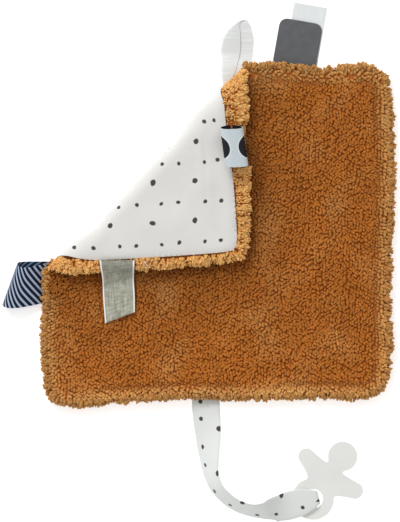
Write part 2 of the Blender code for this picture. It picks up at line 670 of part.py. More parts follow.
def strap_stations():
    """The strap from the seam, rolled on edge round its bend, to its bight in the ring."""
    route = []
    for x, y, roll, lift in STRAP_ROUTE_SHARES:
        spot = STRAP_ROOT + Vector((x, y)) * STRAP_LENGTH
        rise = FLOOR_LIFT + lift * (END_LOW - FLOOR_LIFT)
        route.append((*spot, rise, math.radians(STRAP_ROLL_DEGREES) * roll, STRAP_WIDTH))
    for reach, width in ((-STRAP_FLAT, STRAP_WIDTH), (-CARD_RING_RADIUS, STRAP_WIDTH),
                         (-CARD_HOLE_RADIUS, STRAP_WIDTH * STRAP_RING_WIDTH_SHARE),
                         (BIGHT_CENTRE, BIGHT_WIDTH * BIGHT_FLARE_SHARE)):
        route.append((*(RING_CENTRE + STRAP_END * reach), END_LOW, 0, width))
    smooth = smooth_open(route, 2)
    stations = []
    for index, (x, y, low, roll, width) in enumerate(smooth):
        roll = max(0, roll)
        ahead = smooth[min(index + 1, len(smooth) - 1)]
        behind = smooth[max(index - 1, 0)]
        along = Vector((ahead[0] - behind[0], ahead[1] - behind[1], 0)).normalized()
        left = Vector((-along.y, along.x, 0))
        height = low + STRAP_THICKNESS / 2 + (width - STRAP_THICKNESS) / 2 * math.sin(roll)
        across = left * math.cos(roll) + Vector((0, 0, math.sin(roll)))
        up = Vector((0, 0, math.cos(roll))) - left * math.sin(roll)
        stations.append((Vector((x, y, height)), across, up, width))
    left = stations[-1][1]
    middle = Vector((
        *(RING_CENTRE + STRAP_END * BIGHT_CENTRE), FLOOR_LIFT + STRAP_THICKNESS / 2 + BIGHT_RADIUS))
    for step in range(1, 7):
        turn = math.radians(90 - 30 * step)
        up = STRAP_END.to_3d() * math.cos(turn) + Vector((0, 0, math.sin(turn)))
        stations.append((middle + up * BIGHT_RADIUS, left, up, BIGHT_WIDTH))
    return stations


def strap_tail():
    """The end of the strap that comes back under the ring."""
    start = RING_CENTRE + STRAP_END * TAIL_START
    along = direction(180 + STRAP_END_DEGREES + TAIL_SKEW_DEGREES)
    across = Vector((along.y, -along.x, 0))
    widths = [(0, BIGHT_WIDTH), (TAIL_FLARE_PLACE_SHARE, BIGHT_WIDTH * BIGHT_FLARE_SHARE)]
    widths += [(place, STRAP_WIDTH * share) for place, share in TAIL_WIDTH_SHARES]
    stations = []
    for place, width in widths:
        spot = start + along * TAIL_LENGTH * place
        centre = Vector((*spot, FLOOR_LIFT + STRAP_THICKNESS / 2))
        stations.append((centre, across, Vector((0, 0, 1)), width))
    return loft("strap_tail", stations, COTTON)


def patch(name, low):
    """One half of the strap's hook and loop fastener, beside the ring."""
    middle = RING_CENTRE - STRAP_END * (STRAP_FLAT - PATCH_LENGTH / 2 - GAP)
    side = Vector((-STRAP_END.y, STRAP_END.x))
    corners = [middle + STRAP_END * x * PATCH_LENGTH / 2 + side * y * PATCH_WIDTH / 2
               for x, y in ((-1, -1), (-1, 1), (1, 1), (1, -1))]
    return flat_solid(name, [corners], PATCH_THICKNESS, PATCH_THICKNESS / 8, low, PATCH)


def card_outline():
    """The card's edge in its own plane, X from the ring towards the head, clockwise."""
    wing = Vector((CARD_WING_PLACE_SHARE * CARD_REACH, CARD_WING_REACH))
    half = [
        *arc(Vector((0, 0)), CARD_RING_RADIUS, 180, 52, 9),
        Vector(CARD_LOWER_NOTCH_SHARES) * CARD_REACH,
        *arc(wing, CARD_WING_RADIUS, 170, 5, 6),
        Vector(CARD_UPPER_NOTCH_SHARES) * CARD_REACH,
        *arc(Vector((CARD_REACH, 0)), CARD_HEAD_RADIUS, 138, 0, 6)]
    other = [Vector((point.x, -point.y)) for point in half[-2:0:-1]]
    return smooth_closed(half + other, 2)


def dummy_card():
    """The card hangs on the strap by its ring and its head rests on the floor."""
    tilt = math.radians(CARD_TILT_DEGREES)
    slope = CARD_RING_RADIUS * math.sin(tilt)
    hole = arc(Vector((0, 0)), CARD_HOLE_RADIUS, 0, 350, 35)
    card = flat_solid(
        "dummy_card", [card_outline(), hole], CARD_THICKNESS, CARD_EDGE, -CARD_THICKNESS / 2, CARD)
    height = (TAIL_TOP + END_LOW - slope) / 2
    place = Matrix.Translation((*RING_CENTRE, height))
    turn = Matrix.Rotation(math.radians(CARD_TURN_DEGREES), 4, "Z")
    card.data.transform(place @ turn @ Matrix.Rotation(tilt, 4, "Y"))
    pivot = hinge("dummy_card_hinge", (*RING_CENTRE, height))
    carry(pivot, [card])
    return pivot


def dummy_strap():
    """The strap with its tail, its fastener and the card, on the blanket's lower seam."""
    strap = loft("strap_tube", strap_stations(), COTTON)
    hook = patch("strap_hook_patch", TAIL_TOP + GAP)
    loop = patch("strap_loop_patch", TAIL_TOP + 2 * GAP + PATCH_THICKNESS)
    tail_pivot = hinge("strap_tail_hinge", (*(RING_CENTRE + STRAP_END * TAIL_START), FLOOR_LIFT))
    carry(tail_pivot, [strap_tail(), hook])
    pivot = hinge("strap_hinge", (*(STRAP_SEAM - Vector((0, GAP))), TAIL_TOP))
    carry(pivot, [strap, loop, tail_pivot, dummy_card()])


def blanket():
    """The blanket itself, the corner that folds over it and the trims along its seams."""
    plush_face("base_plush_face", 1)
    cotton_back("base_cotton_back", 1)
    seam_thread("base_seam_thread", 1)
    flap = [plush_face("flap_plush_face", -1), cotton_back("flap_cotton_back", -1),
            seam_thread("flap_seam_thread", -1)]
    fold_over(*flap)
    corner = hinge("corner_fold_hinge", FOLD_HINGE)
    carry(corner, [*flap, dot_ribbon(), grey_ribbon()])
    stripe_ribbon()
    satin_ribbon()
    care_label_and_tag()
    dummy_strap()


blanket()
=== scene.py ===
# %% [markdown]
# A comfort blanket with one corner folded over
#
# The real one is a square of curly teddy fleece sewn to a square of printed muslin. Ribbon
# loops for small fingers are caught in the seam, and a strap on the lower edge holds a dummy.
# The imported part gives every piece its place. This lesson gives each one its cloth.

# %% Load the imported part
import json
import math
import random
from collections import namedtuple

import bmesh
import bpy
from mathutils import Matrix, Vector, kdtree, noise


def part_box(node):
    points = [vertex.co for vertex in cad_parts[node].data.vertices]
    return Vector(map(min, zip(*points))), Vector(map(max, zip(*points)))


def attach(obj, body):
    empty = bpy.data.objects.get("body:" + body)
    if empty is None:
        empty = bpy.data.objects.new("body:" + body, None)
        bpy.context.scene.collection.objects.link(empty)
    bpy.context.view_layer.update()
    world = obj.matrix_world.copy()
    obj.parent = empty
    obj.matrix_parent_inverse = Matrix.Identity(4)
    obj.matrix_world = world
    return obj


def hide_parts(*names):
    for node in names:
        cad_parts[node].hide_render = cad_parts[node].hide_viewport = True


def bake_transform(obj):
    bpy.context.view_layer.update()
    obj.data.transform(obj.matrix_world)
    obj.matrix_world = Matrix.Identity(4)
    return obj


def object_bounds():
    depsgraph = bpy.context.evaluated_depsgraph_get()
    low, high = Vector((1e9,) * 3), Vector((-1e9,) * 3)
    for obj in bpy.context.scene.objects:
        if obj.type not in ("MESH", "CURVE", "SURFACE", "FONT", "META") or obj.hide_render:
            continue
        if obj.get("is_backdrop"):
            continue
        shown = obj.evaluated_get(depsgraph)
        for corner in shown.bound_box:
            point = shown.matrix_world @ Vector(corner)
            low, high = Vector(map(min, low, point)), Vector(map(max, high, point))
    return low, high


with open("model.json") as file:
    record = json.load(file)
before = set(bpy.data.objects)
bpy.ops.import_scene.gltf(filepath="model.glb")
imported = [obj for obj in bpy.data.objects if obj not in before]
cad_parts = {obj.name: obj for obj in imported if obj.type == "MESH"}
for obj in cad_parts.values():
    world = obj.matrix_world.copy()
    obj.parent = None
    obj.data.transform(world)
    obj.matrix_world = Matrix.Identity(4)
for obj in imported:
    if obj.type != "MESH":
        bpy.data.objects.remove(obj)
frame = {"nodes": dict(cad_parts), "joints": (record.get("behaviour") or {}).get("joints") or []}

cad_box = [list(corner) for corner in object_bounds()]
print("CAD box in metres:", cad_box)

# %% [markdown]
# Sewing is measured in millimetres, and Blender works in metres, so sizes below are written as
# a number of millimetres. A seeded random generator makes every run lay the same pile.

# %% Units and chance
MM = 0.001
chance = random.Random(11)

# %% [markdown]
# The camera comes first. The photograph looks straight down, so its picture plane is parallel
# to the blanket. A long lens keeps the ribbons on top and the strap on the floor at one scale.

# %% Camera
VIEW_HEIGHT = 372.9 * MM
VIEW_CENTRE = Vector((-12.5 * MM, -19.6 * MM))
SHARP_HEIGHT = 8 * MM
LENS = 200
SENSOR = 36

camera_data = bpy.data.cameras.new("camera")
camera_data.lens = LENS
camera_data.sensor_width = SENSOR
camera = bpy.data.objects.new("camera", camera_data)
camera.location = (*VIEW_CENTRE, VIEW_HEIGHT * LENS / SENSOR + SHARP_HEIGHT)
bpy.context.scene.collection.objects.link(camera)
bpy.context.scene.camera = camera
print("camera height", round(camera.location.z, 3), "m")

# %% [markdown]
# Plain white paper under soft studio light is what such a blanket is photographed on. One wide
# lamp at the upper left gives the pile its relief, and the bright surroundings fill the shadows.
# The paper is lit a little from below, as on a light table, which keeps it white. The standard
# view keeps the fleece as saturated as a shop photograph does.

# %% Floor and light
FLOOR_SIZE = 6.0
FLOOR_DROP = 0.1 * MM
LAMP_PLACE = (-1.3, 2.2, 2.0)
LAMP_WIDTH = 1.0
LAMP_POWER = 52
SURROUNDINGS_STRENGTH = 0.65
bpy.context.scene.view_settings.view_transform = "Standard"


def lamp(name, place, width, power):
    """A square area lamp that faces the middle of the blanket."""
    data = bpy.data.lights.new(name, "AREA")
    data.size = width
    data.energy = power
    made = bpy.data.objects.new(name, data)
    made.location = place
    made.rotation_euler = Vector(place).to_track_quat("Z", "Y").to_euler()
    bpy.context.scene.collection.objects.link(made)


bpy.ops.mesh.primitive_plane_add(size=FLOOR_SIZE, location=(0, 0, -FLOOR_DROP))
floor = bpy.context.object
floor.name = "floor"
floor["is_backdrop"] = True
lamp("key_lamp", LAMP_PLACE, LAMP_WIDTH, LAMP_POWER)
world = bpy.data.worlds.new("studio")
bpy.context.scene.world = world
world.use_nodes = True
background = world.node_tree.nodes["Background"]
background.inputs["Color"].default_value = (1, 1, 1, 1)
background.inputs["Strength"].default_value = SURROUNDINGS_STRENGTH
print("lamp at", LAMP_PLACE, "m")

# %% [markdown]
# Finishes. Colours are read as sRGB hex codes, as on a shade card, and turned to the linear
# values that the shader works in. One helper adds a node, sets what it is given and links it.


# %% Colours and nodes
def srgb(code):
    """The linear colour of an sRGB hex code."""
    shares = [int(code[k:k + 2], 16) / 255 for k in (1, 3, 5)]
    linear = [s / 12.92 if s <= 0.04045 else ((s + 0.055) / 1.055) ** 2.4 for s in shares]
    return (*linear, 1)


def finish(name, roughness, **settings):
    """A material whose Principled shader has these constant values."""
    made = bpy.data.materials.new(name)
    made.use_nodes = True
    shader = made.node_tree.nodes["Principled BSDF"]
    shader.inputs["Roughness"].default_value = roughness
    for socket, value in settings.items():
        shader.inputs[socket.replace("_", " ")].default_value = value
    return made, made.node_tree, shader


def node(tree, kind, inputs=None, **settings):
    """Adds a node with its settings. An input is a value, or a socket to link from."""
    made = tree.nodes.new(kind)
    for name, value in settings.items():
        setattr(made, name, value)
    for name, value in (inputs or {}).items():
        if isinstance(value, bpy.types.NodeSocket):
            tree.links.new(value, made.inputs[name])
        else:
            made.inputs[name].default_value = value
    return made


def ramp(tree, factor, *stops):
    """A colour ramp through (position, hex code) stops."""
    made = node(tree, "ShaderNodeValToRGB", {"Fac": factor})
    elements = made.color_ramp.elements
    while len(elements) < len(stops):
        elements.new(0.5)
    for element, (position, code) in zip(elements, stops):
        element.position = position
        element.color = srgb(code)
    return made.outputs["Color"]


def bumped(tree, shader, height, depth, strength=1.0):
    """Links a height in shares of a depth to the shader as a bump."""
    relief = node(tree, "ShaderNodeBump", {"Height": height, "Distance": depth, "Strength": strength})
    tree.links.new(relief.outputs["Normal"], shader.inputs["Normal"])


# %% [markdown]
# Woven cloth is threads that go over and under each other. The product of two sine waves has
# the same chequered relief. The waves run on the UV map, which holds metres along the cloth,
# so a thread count can be given in millimetres. The real threads are about half a millimetre
# apart. They are drawn a little coarser, so that the render can hold them.


# %% Thread relief
def threads(tree, where, across, along):
    """A plain weave from thread spacings in metres. A spacing of None leaves that way out."""
    apart = node(tree, "ShaderNodeSeparateXYZ", {"Vector": where})
    height = None
    for axis, spacing in (("X", across), ("Y", along)):
        if spacing is None:
            continue
        turn = node(tree, "ShaderNodeMath", {0: apart.outputs[axis], 1: math.tau / spacing},
                    operation="MULTIPLY")
        wave = node(tree, "ShaderNodeMath", {0: turn.outputs[0]}, operation="SINE").outputs[0]
        if height is None:
            height = wave
        else:
            height = node(tree, "ShaderNodeMath", {0: height, 1: wave}, operation="MULTIPLY").outputs[0]
    return height


def grain(tree, where, size, detail=3.0, stretch=(1, 1, 1)):
    """Fractal noise with a grain of this size in metres."""
    scaled = node(tree, "ShaderNodeMapping", {"Vector": where, "Scale": stretch})
    return node(tree, "ShaderNodeTexNoise", {
        "Vector": scaled.outputs[0], "Scale": 1 / size, "Detail": detail}).outputs["Fac"]


# %% [markdown]
# Teddy fleece is polyester pile that is tumbled until it curls into locks. Each lock is dark
# at its root, where little light reaches, and golden at its tip. The pile gets a shade for
# each lock, a random tone with painted shadow, painted shade and painted light in it, and a
# paler one near the hem, and both are stored on the mesh as attributes.


# %% Teddy fleece
def teddy_fleece(name, root, middle, tip, hem_tip):
    """Pile in the colours of a lock's root, middle and tip, and of a tip near the hem."""
    made, tree, shader = finish(name, 0.85, Sheen_Weight=0.12, Sheen_Roughness=0.5,
                                Specular_IOR_Level=0.2, Subsurface_Weight=0.15,
                                Subsurface_Scale=2.5 * MM, Subsurface_Radius=(1.0, 0.6, 0.35))
    shader.inputs["Sheen Tint"].default_value = srgb("#E09A4C")
    where = node(tree, "ShaderNodeTexCoord")
    height = node(tree, "ShaderNodeSeparateXYZ", {"Vector": where.outputs["UV"]}).outputs["Y"]
    inner = ramp(tree, height, (0.05, root), (0.50, middle), (0.98, tip))
    hem = ramp(tree, height, (0.0, tip), (0.92, hem_tip))
    paleness = node(tree, "ShaderNodeAttribute", attribute_name="paleness").outputs["Fac"]
    coat = node(tree, "ShaderNodeMix", {"Factor": paleness, "A": inner, "B": hem}, data_type="RGBA")
    # The shade holds a random tone with painted shadow, painted shade and painted light in it.
    shade = node(tree, "ShaderNodeAttribute", attribute_name="shade").outputs["Fac"]
    patch = node(tree, "ShaderNodeMapRange", {
        "Value": grain(tree, where.outputs["Object"], 22 * MM), "From Min": 0.3, "From Max": 0.7,
        "To Min": 0.92, "To Max": 1.08})
    light = node(tree, "ShaderNodeMath", {0: shade, 1: patch.outputs[0]}, operation="MULTIPLY")
    tinted = node(tree, "ShaderNodeVectorMath", {0: coat.outputs["Result"], "Scale": light.outputs[0]},
                  operation="SCALE")
    tree.links.new(tinted.outputs[0], shader.inputs["Base Color"])
    fibre = grain(tree, where.outputs["UV"], 1.0, 4.0, (9, 2.2, 1))
    bumped(tree, shader, fibre, 0.35 * MM, 0.6)
    return made


PILE = teddy_fleece("curled_teddy_fleece", "#9A4F0E", "#AC6018", "#BE7632", "#E2B672")
KNIT, knit_tree, knit_shader = finish("fleece_knit_ground", 0.95)
knit_where = node(knit_tree, "ShaderNodeTexCoord").outputs["Object"]
knit_tree.links.new(
    ramp(knit_tree, grain(knit_tree, knit_where, 1.5 * MM), (0.3, "#A0520F"), (0.7, "#B0641C")),
    knit_shader.inputs["Base Color"])
bumped(knit_tree, knit_shader, grain(knit_tree, knit_where, 0.8 * MM), 0.5 * MM)

# %% [markdown]
# The muslin is off-white cotton with a printed scatter of charcoal dots: one large dot and a
# pair of small ones in each repeat. A repeat is worked out with a fraction, which folds the
# UV map into one cell, and each dot is the distance to its centre in that cell. The print
# runs a little askew, its edges bleed into the threads, and noise moves the dots a little,
# because muslin stretches as it is printed.

# %% Printed muslin
PRINT_REPEAT = (30.4 * MM, 28.3 * MM)
PRINT_START = (-20.7 * MM, 3.3 * MM)
PRINT_SKEW = 0.06
PRINT_DOTS = [(5.0 * MM, 7.0 * MM, 1.85 * MM), (11.5 * MM, 20.0 * MM, 1.4 * MM),
              (23.7 * MM, 20.0 * MM, 1.4 * MM)]
PRINT_BLEED = 0.3 * MM
PRINT_SPREAD = 0.45 * MM
PRINT_PATCH = 14 * MM
PRINT_WANDER = 4 * MM
THREAD_SPACING = 0.9 * MM


def printed_muslin(name, low, high):
    """Cotton between two shades of white, with the print on it."""
    made, tree, shader = finish(name, 0.9, Sheen_Weight=0.15, Specular_IOR_Level=0.3)
    where = node(tree, "ShaderNodeTexCoord").outputs["UV"]
    drift = node(tree, "ShaderNodeTexNoise", {"Vector": where, "Scale": 1 / PRINT_PATCH, "Detail": 1.0})
    centred = node(tree, "ShaderNodeVectorMath", {0: drift.outputs["Color"], 1: (0.5, 0.5, 0.5)},
                   operation="SUBTRACT")
    moved = node(tree, "ShaderNodeVectorMath", {
        0: centred.outputs[0], 1: (PRINT_WANDER, PRINT_WANDER, 0), 2: where}, operation="MULTIPLY_ADD")
    started = node(tree, "ShaderNodeVectorMath", {0: moved.outputs[0], 1: (*PRINT_START, 0)},
                   operation="SUBTRACT")
    repeats = node(tree, "ShaderNodeVectorMath", {0: started.outputs[0], 1: (*PRINT_REPEAT, 1)},
                   operation="DIVIDE")
    folded = node(tree, "ShaderNodeVectorMath", {0: repeats.outputs[0]}, operation="FRACTION")
    cell = node(tree, "ShaderNodeVectorMath", {0: folded.outputs[0], 1: (*PRINT_REPEAT, 0)},
                operation="MULTIPLY")
    bleed = node(tree, "ShaderNodeMath", {
        0: grain(tree, where, 1.3 * MM), 1: 0.9 * MM}, operation="MULTIPLY").outputs[0]
    ink = None
    for x, y, radius in PRINT_DOTS:
        away = node(tree, "ShaderNodeVectorMath", {0: cell.outputs[0], 1: (x, y, 0)}, operation="DISTANCE")
        rough = node(tree, "ShaderNodeMath", {0: away.outputs["Value"], 1: bleed}, operation="ADD")
        dot = node(tree, "ShaderNodeMapRange", {
            "Value": rough.outputs[0], "From Min": radius + PRINT_SPREAD - PRINT_BLEED,
            "From Max": radius + PRINT_SPREAD + PRINT_BLEED, "To Min": 1.0, "To Max": 0.0},
            interpolation_type="SMOOTHSTEP").outputs[0]
        ink = dot if ink is None else node(
            tree, "ShaderNodeMath", {0: ink, 1: dot}, operation="MAXIMUM").outputs[0]
    cotton = ramp(tree, grain(tree, where, 30 * MM), (0.3, low), (0.7, high))
    colour = node(tree, "ShaderNodeMix", {"Factor": ink, "A": cotton, "B": srgb("#484243")},
                  data_type="RGBA")
    tree.links.new(colour.outputs["Result"], shader.inputs["Base Color"])
    weave = threads(tree, where, THREAD_SPACING, THREAD_SPACING)
    slub = grain(tree, where, 3 * MM, 2.0, (0.25, 1, 1))
    relief = node(tree, "ShaderNodeMath", {0: weave, 1: 0.25, 2: slub}, operation="MULTIPLY_ADD")
    bumped(tree, shader, relief.outputs[0], 0.15 * MM, 0.6)
    return made


MUSLIN = printed_muslin("printed_muslin", "#DEDCD8", "#E5E3DF")
STRAP_MUSLIN = printed_muslin("strap_muslin", "#DFE3E0", "#E5E8E5")
print("materials so far:", PILE.name, KNIT.name, MUSLIN.name, STRAP_MUSLIN.name)

# %% [markdown]
# The blanket's outline. It isn't a true square: the hand-cut cloth pulls in along its sides
# and its corners are round. The points are shares of the width and height, and a smooth curve
# is drawn through them. Flat work is done in plan, before the corner is folded over.

# %% The outline in plan
BLANKET_WIDTH = 250 * MM
BLANKET_HEIGHT = 243 * MM
OUTLINE_SHARES = [
    (0.077, 0.495), (0.177, 0.498), (0.265, 0.488), (0.345, 0.489), (0.408, 0.496),
    (0.453, 0.484), (0.484, 0.455), (0.493, 0.400), (0.500, 0.280), (0.500, 0.120),
    (0.494, -0.060), (0.492, -0.200), (0.494, -0.350), (0.482, -0.436), (0.453, -0.468),
    (0.410, -0.484), (0.300, -0.481), (0.092, -0.486), (-0.100, -0.483), (-0.250, -0.492),
    (-0.388, -0.504), (-0.445, -0.499), (-0.480, -0.470), (-0.494, -0.410), (-0.500, -0.300),
    (-0.490, -0.165), (-0.480, -0.121), (-0.479, -0.030), (-0.481, 0.100), (-0.480, 0.300),
    (-0.476, 0.415), (-0.459, 0.451), (-0.420, 0.468), (-0.300, 0.478), (-0.120, 0.485),
]


def smooth(points, steps, closed=False):
    """A Catmull-Rom curve through points of any dimension."""
    knots = [Vector(point) for point in points]
    knots = [knots[-1], *knots, knots[0], knots[1]] if closed else [knots[0], *knots, knots[-1]]
    curve = []
    for index in range(1, len(knots) - 2):
        before, start, end, after = knots[index - 1:index + 3]
        for step in range(steps):
            t = step / steps
            bend = 2 * before - 5 * start + 4 * end - after
            turn = 3 * start - before - 3 * end + after
            curve.append((2 * start + (end - before) * t + bend * t ** 2 + turn * t ** 3) / 2)
    return curve if closed else curve + [knots[-1]]


def inset(outline, distance):
    """A clockwise outline moved inwards."""
    moved = []
    for index, point in enumerate(outline):
        along = outline[(index + 1) % len(outline)] - outline[index - 1]
        moved.append(point + Vector((along.y, -along.x)).normalized() * distance)
    return moved


def evenly(outline, spacing):
    """Points every so far along a closed outline, each with its outward direction."""
    found = []
    walked = 0
    due = 0
    for index, point in enumerate(outline):
        ahead = outline[(index + 1) % len(outline)]
        run = ahead - point
        while due < walked + run.length:
            found.append((point + run * (due - walked) / run.length, Vector((-run.y, run.x)).normalized()))
            due += spacing
        walked += run.length
    return found


OUTLINE = smooth([(x * BLANKET_WIDTH, y * BLANKET_HEIGHT) for x, y in OUTLINE_SHARES], 8, closed=True)
hem_points = evenly(OUTLINE, 1 * MM)
hem_tree = kdtree.KDTree(len(hem_points))
for index, (point, outward) in enumerate(hem_points):
    hem_tree.insert(point.to_3d(), index)
hem_tree.balance()


def from_hem(point):
    """How far a point in plan lies inside the outline, and which way is out."""
    _, index, _ = hem_tree.find(point.to_3d())
    nearest, outward = hem_points[index]
    return (nearest - point).dot(outward), outward


print("hem length", round(len(hem_points) * MM, 3), "m")

# %% [markdown]
# The fold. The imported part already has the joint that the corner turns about, so its place
# and direction are read from there. Points near the fold are easiest to think of in its own
# frame: how far along the fold, and how far in towards the blanket. A soft fold isn't straight.
# Each pair in its wave is a share of its length, and the millimetres it wanders in there.

# %% The fold's own frame
joints = {joint["name"]: joint for joint in frame["joints"]}
HINGE = Vector(joints["corner_fold"]["pos_m"])
ALONG = -Vector(joints["corner_fold"]["axis"]).normalized()
INWARD = Vector((ALONG.y, -ALONG.x, 0))
UP = Vector((0, 0, 1))
FOLD_OVER = (Matrix.Translation(HINGE) @ Matrix.Rotation(math.pi, 4, ALONG)
             @ Matrix.Translation(-HINGE))
FOLD_LENGTH = 178 * MM
WAVE_REACH = 6 * MM
FOLD_WAVE = [
    (-0.05, -5.4), (0.00, -5.2), (0.05, -4.3), (0.08, -3.9), (0.12, -2.9), (0.16, -1.4), (0.20, 0.3),
    (0.24, 1.1), (0.28, 0.4), (0.34, 0.0), (0.43, 0.0), (0.53, -0.5), (0.63, 0.4), (0.69, -0.1),
    (0.75, -0.9), (0.81, -2.4), (0.85, -2.2), (0.91, -1.5), (0.95, -1.9), (0.98, -1.5), (1.02, -0.6),
    (1.06, -0.2), (1.12, 0.0)]
fold_wave = smooth([(share * FOLD_LENGTH, wave * MM) for share, wave in FOLD_WAVE], 6)


def into_fold(point):
    """A point in plan as its places along and across the fold."""
    away = point.to_3d() - HINGE
    return away.dot(ALONG), away.dot(INWARD)


def read_off(curve, place):
    """The height of a curve at a place along it."""
    return min(curve, key=lambda knot: abs(knot.x - place)).y


def wave_at(along, across):
    """How far a soft fold wanders in from its straight line. It fades away from the fold."""
    return read_off(fold_wave, along + FOLD_LENGTH / 2) * math.exp(-(across / WAVE_REACH) ** 2)


def waved(along, across):
    """The wave on the unfolded blanket, where the corner's side of the fold is turned round."""
    return INWARD * math.copysign(wave_at(along, across), across * wave_at(along, 0))


print("fold hinge", [round(c / MM, 1) for c in HINGE], "mm")

# %% [markdown]
# The seam between fleece and muslin lies inside the outline, because the fleece rolls over it.
# It rolls over most beside the upper end of the fold, where the corner was turned out by hand.
# Each pair is a place along that side and the seam's depth there, both in millimetres.

# %% The seam's depth
MUSLIN_INSET = 6.8 * MM
UPPER_SEAM = [(-125, 6.8), (-108, 7.6), (-86, 9.2), (-60, 10.8), (-25, 14.4), (10, 14.8), (45, 6.8),
              (125, 6.8)]
LEFT_SEAM = [(-125, 6.8), (-60, 6.8), (-35, 7.0), (-18, 8.2), (-6, 9.2), (8, 7.8), (60, 7.2), (100, 6.8),
             (125, 6.8)]
upper_seam = smooth([(place * MM, depth * MM) for place, depth in UPPER_SEAM], 8)
left_seam = smooth([(place * MM, depth * MM) for place, depth in LEFT_SEAM], 8)


def seam_depth(point, outward):
    """How far inside the outline the muslin starts."""
    if outward.y > 0.5 and point.y > 0:
        return read_off(upper_seam, point.x)
    if outward.x < -0.5:
        return read_off(left_seam, point.y)
    return MUSLIN_INSET


# %% [markdown]
# Pieces are finished by one helper. It gives a bmesh its normals, material and smooth shading,
# and applies the modifiers that a piece was given, so what follows reads the finished cloth.


# %% Making pieces
def piece(name, shape, finish_material, turned=True):
    """A smooth object from a bmesh, whose faces are turned outwards unless they are already."""
    if turned:
        bmesh.ops.recalc_face_normals(shape, faces=shape.faces)
    data = bpy.data.meshes.new(name)
    shape.to_mesh(data)
    shape.free()
    data.materials.append(finish_material)
    data.shade_smooth()
    made = bpy.data.objects.new(name, data)
    bpy.context.scene.collection.objects.link(made)
    return made


def settled(made, crease_degrees=40):
    """Applies what is on a piece, and keeps its hard edges hard."""
    bpy.context.view_layer.update()
    evaluated = made.evaluated_get(bpy.context.evaluated_depsgraph_get())
    made.data = bpy.data.meshes.new_from_object(evaluated)
    made.modifiers.clear()
    made.data.set_sharp_from_angle(angle=math.radians(crease_degrees))
    return made


def thicken(made, thickness, inner=None):
    """Gives cloth its thickness, with an inner face of its own if it has one."""
    solid = made.modifiers.new("cloth", "SOLIDIFY")
    solid.thickness = thickness
    solid.offset = 0
    solid.use_even_offset = True
    if inner:
        made.data.materials.append(inner)
        solid.material_offset = 1
    return settled(made)


# %% [markdown]
# The pile is real geometry. A lock starts as a small ball, which is drawn out and bent over
# like a comma. A few of them with unlike bends are enough, because each copy is turned and
# scaled by itself. A lock has only thirty faces, since thousands of them make the coat. The
# UV map runs up the lock, for the shade from root to tip.

# %% Curls
LOCK_SIDES = 6
LOCK_RINGS = 5
LOCK_KINDS = 8


def curl(name, bend, sway, width, taper):
    """A lock one unit long, rooted at zero, which grows up +Z and bends over to +Y."""
    shape = bmesh.new()
    uv = shape.loops.layers.uv.new("UVMap")
    bmesh.ops.create_uvsphere(shape, u_segments=LOCK_SIDES, v_segments=LOCK_RINGS, radius=0.5)
    for face in shape.faces:
        for loop in face.loops:
            spot = loop.vert.co
            loop[uv].uv = (0.5 + math.atan2(spot.y, spot.x) / math.tau, spot.z + 0.5)
    for vert in shape.verts:
        share = vert.co.z + 0.5
        full = width * (1 + taper * (0.5 - share))
        turn = bend * share
        x = vert.co.x * full + sway * math.sin(math.pi * share * 1.5)
        y = vert.co.y * full
        vert.co = (x, (1 - math.cos(turn)) / bend + y * math.cos(turn),
                   math.sin(turn) / bend - y * math.sin(turn))
    data = bpy.data.meshes.new(name)
    shape.to_mesh(data)
    shape.free()
    return data


top_curls = [curl("top_curl", 1.0 + 0.09 * k, 0.12 * (-1) ** k, 0.58, -0.1) for k in range(LOCK_KINDS)]
hem_curls = [curl("hem_curl", 0.45 + 0.08 * k, 0.08 * (-1) ** k, 0.50, 0.7) for k in range(LOCK_KINDS)]
print("faces in a lock:", len(top_curls[0].polygons))

# %% [markdown]
# A lock is set on the knit by its root, the way the knit faces and the way it leans. Laying
# thousands of them one by one is fast when each is a copied mesh that is added to one bmesh.
# The shade and paleness of each lock are written to the mesh afterwards, once per vertex.

# %% Laying pile
FLOOR_CLEARANCE = 0.15 * MM
Lock = namedtuple("Lock", "curl root facing lean length shade paleness")


def lay_pile(name, locks, over=None):
    """One coat from its locks, turned over by a matrix if it has one."""
    coat = bmesh.new()
    coat.loops.layers.uv.new("UVMap")
    for lock in locks:
        side = lock.lean.cross(lock.facing).normalized()
        ahead = lock.facing.cross(side)
        turned = Matrix((side, ahead, lock.facing)).transposed().to_4x4()
        one = lock.curl.copy()
        one.transform(Matrix.Translation(lock.root) @ turned @ Matrix.Scale(lock.length, 4))
        coat.from_mesh(one)
        bpy.data.meshes.remove(one)
    if over:
        coat.transform(over)
    for vert in coat.verts:
        vert.co.z = max(vert.co.z, FLOOR_CLEARANCE)
    made = piece(name, coat, PILE)
    count = len(top_curls[0].vertices)
    for label in ("shade", "paleness"):
        values = made.data.attributes.new(label, "FLOAT", "POINT")
        values.data.foreach_set("value", [getattr(lock, label) for lock in locks for _ in range(count)])
    return made
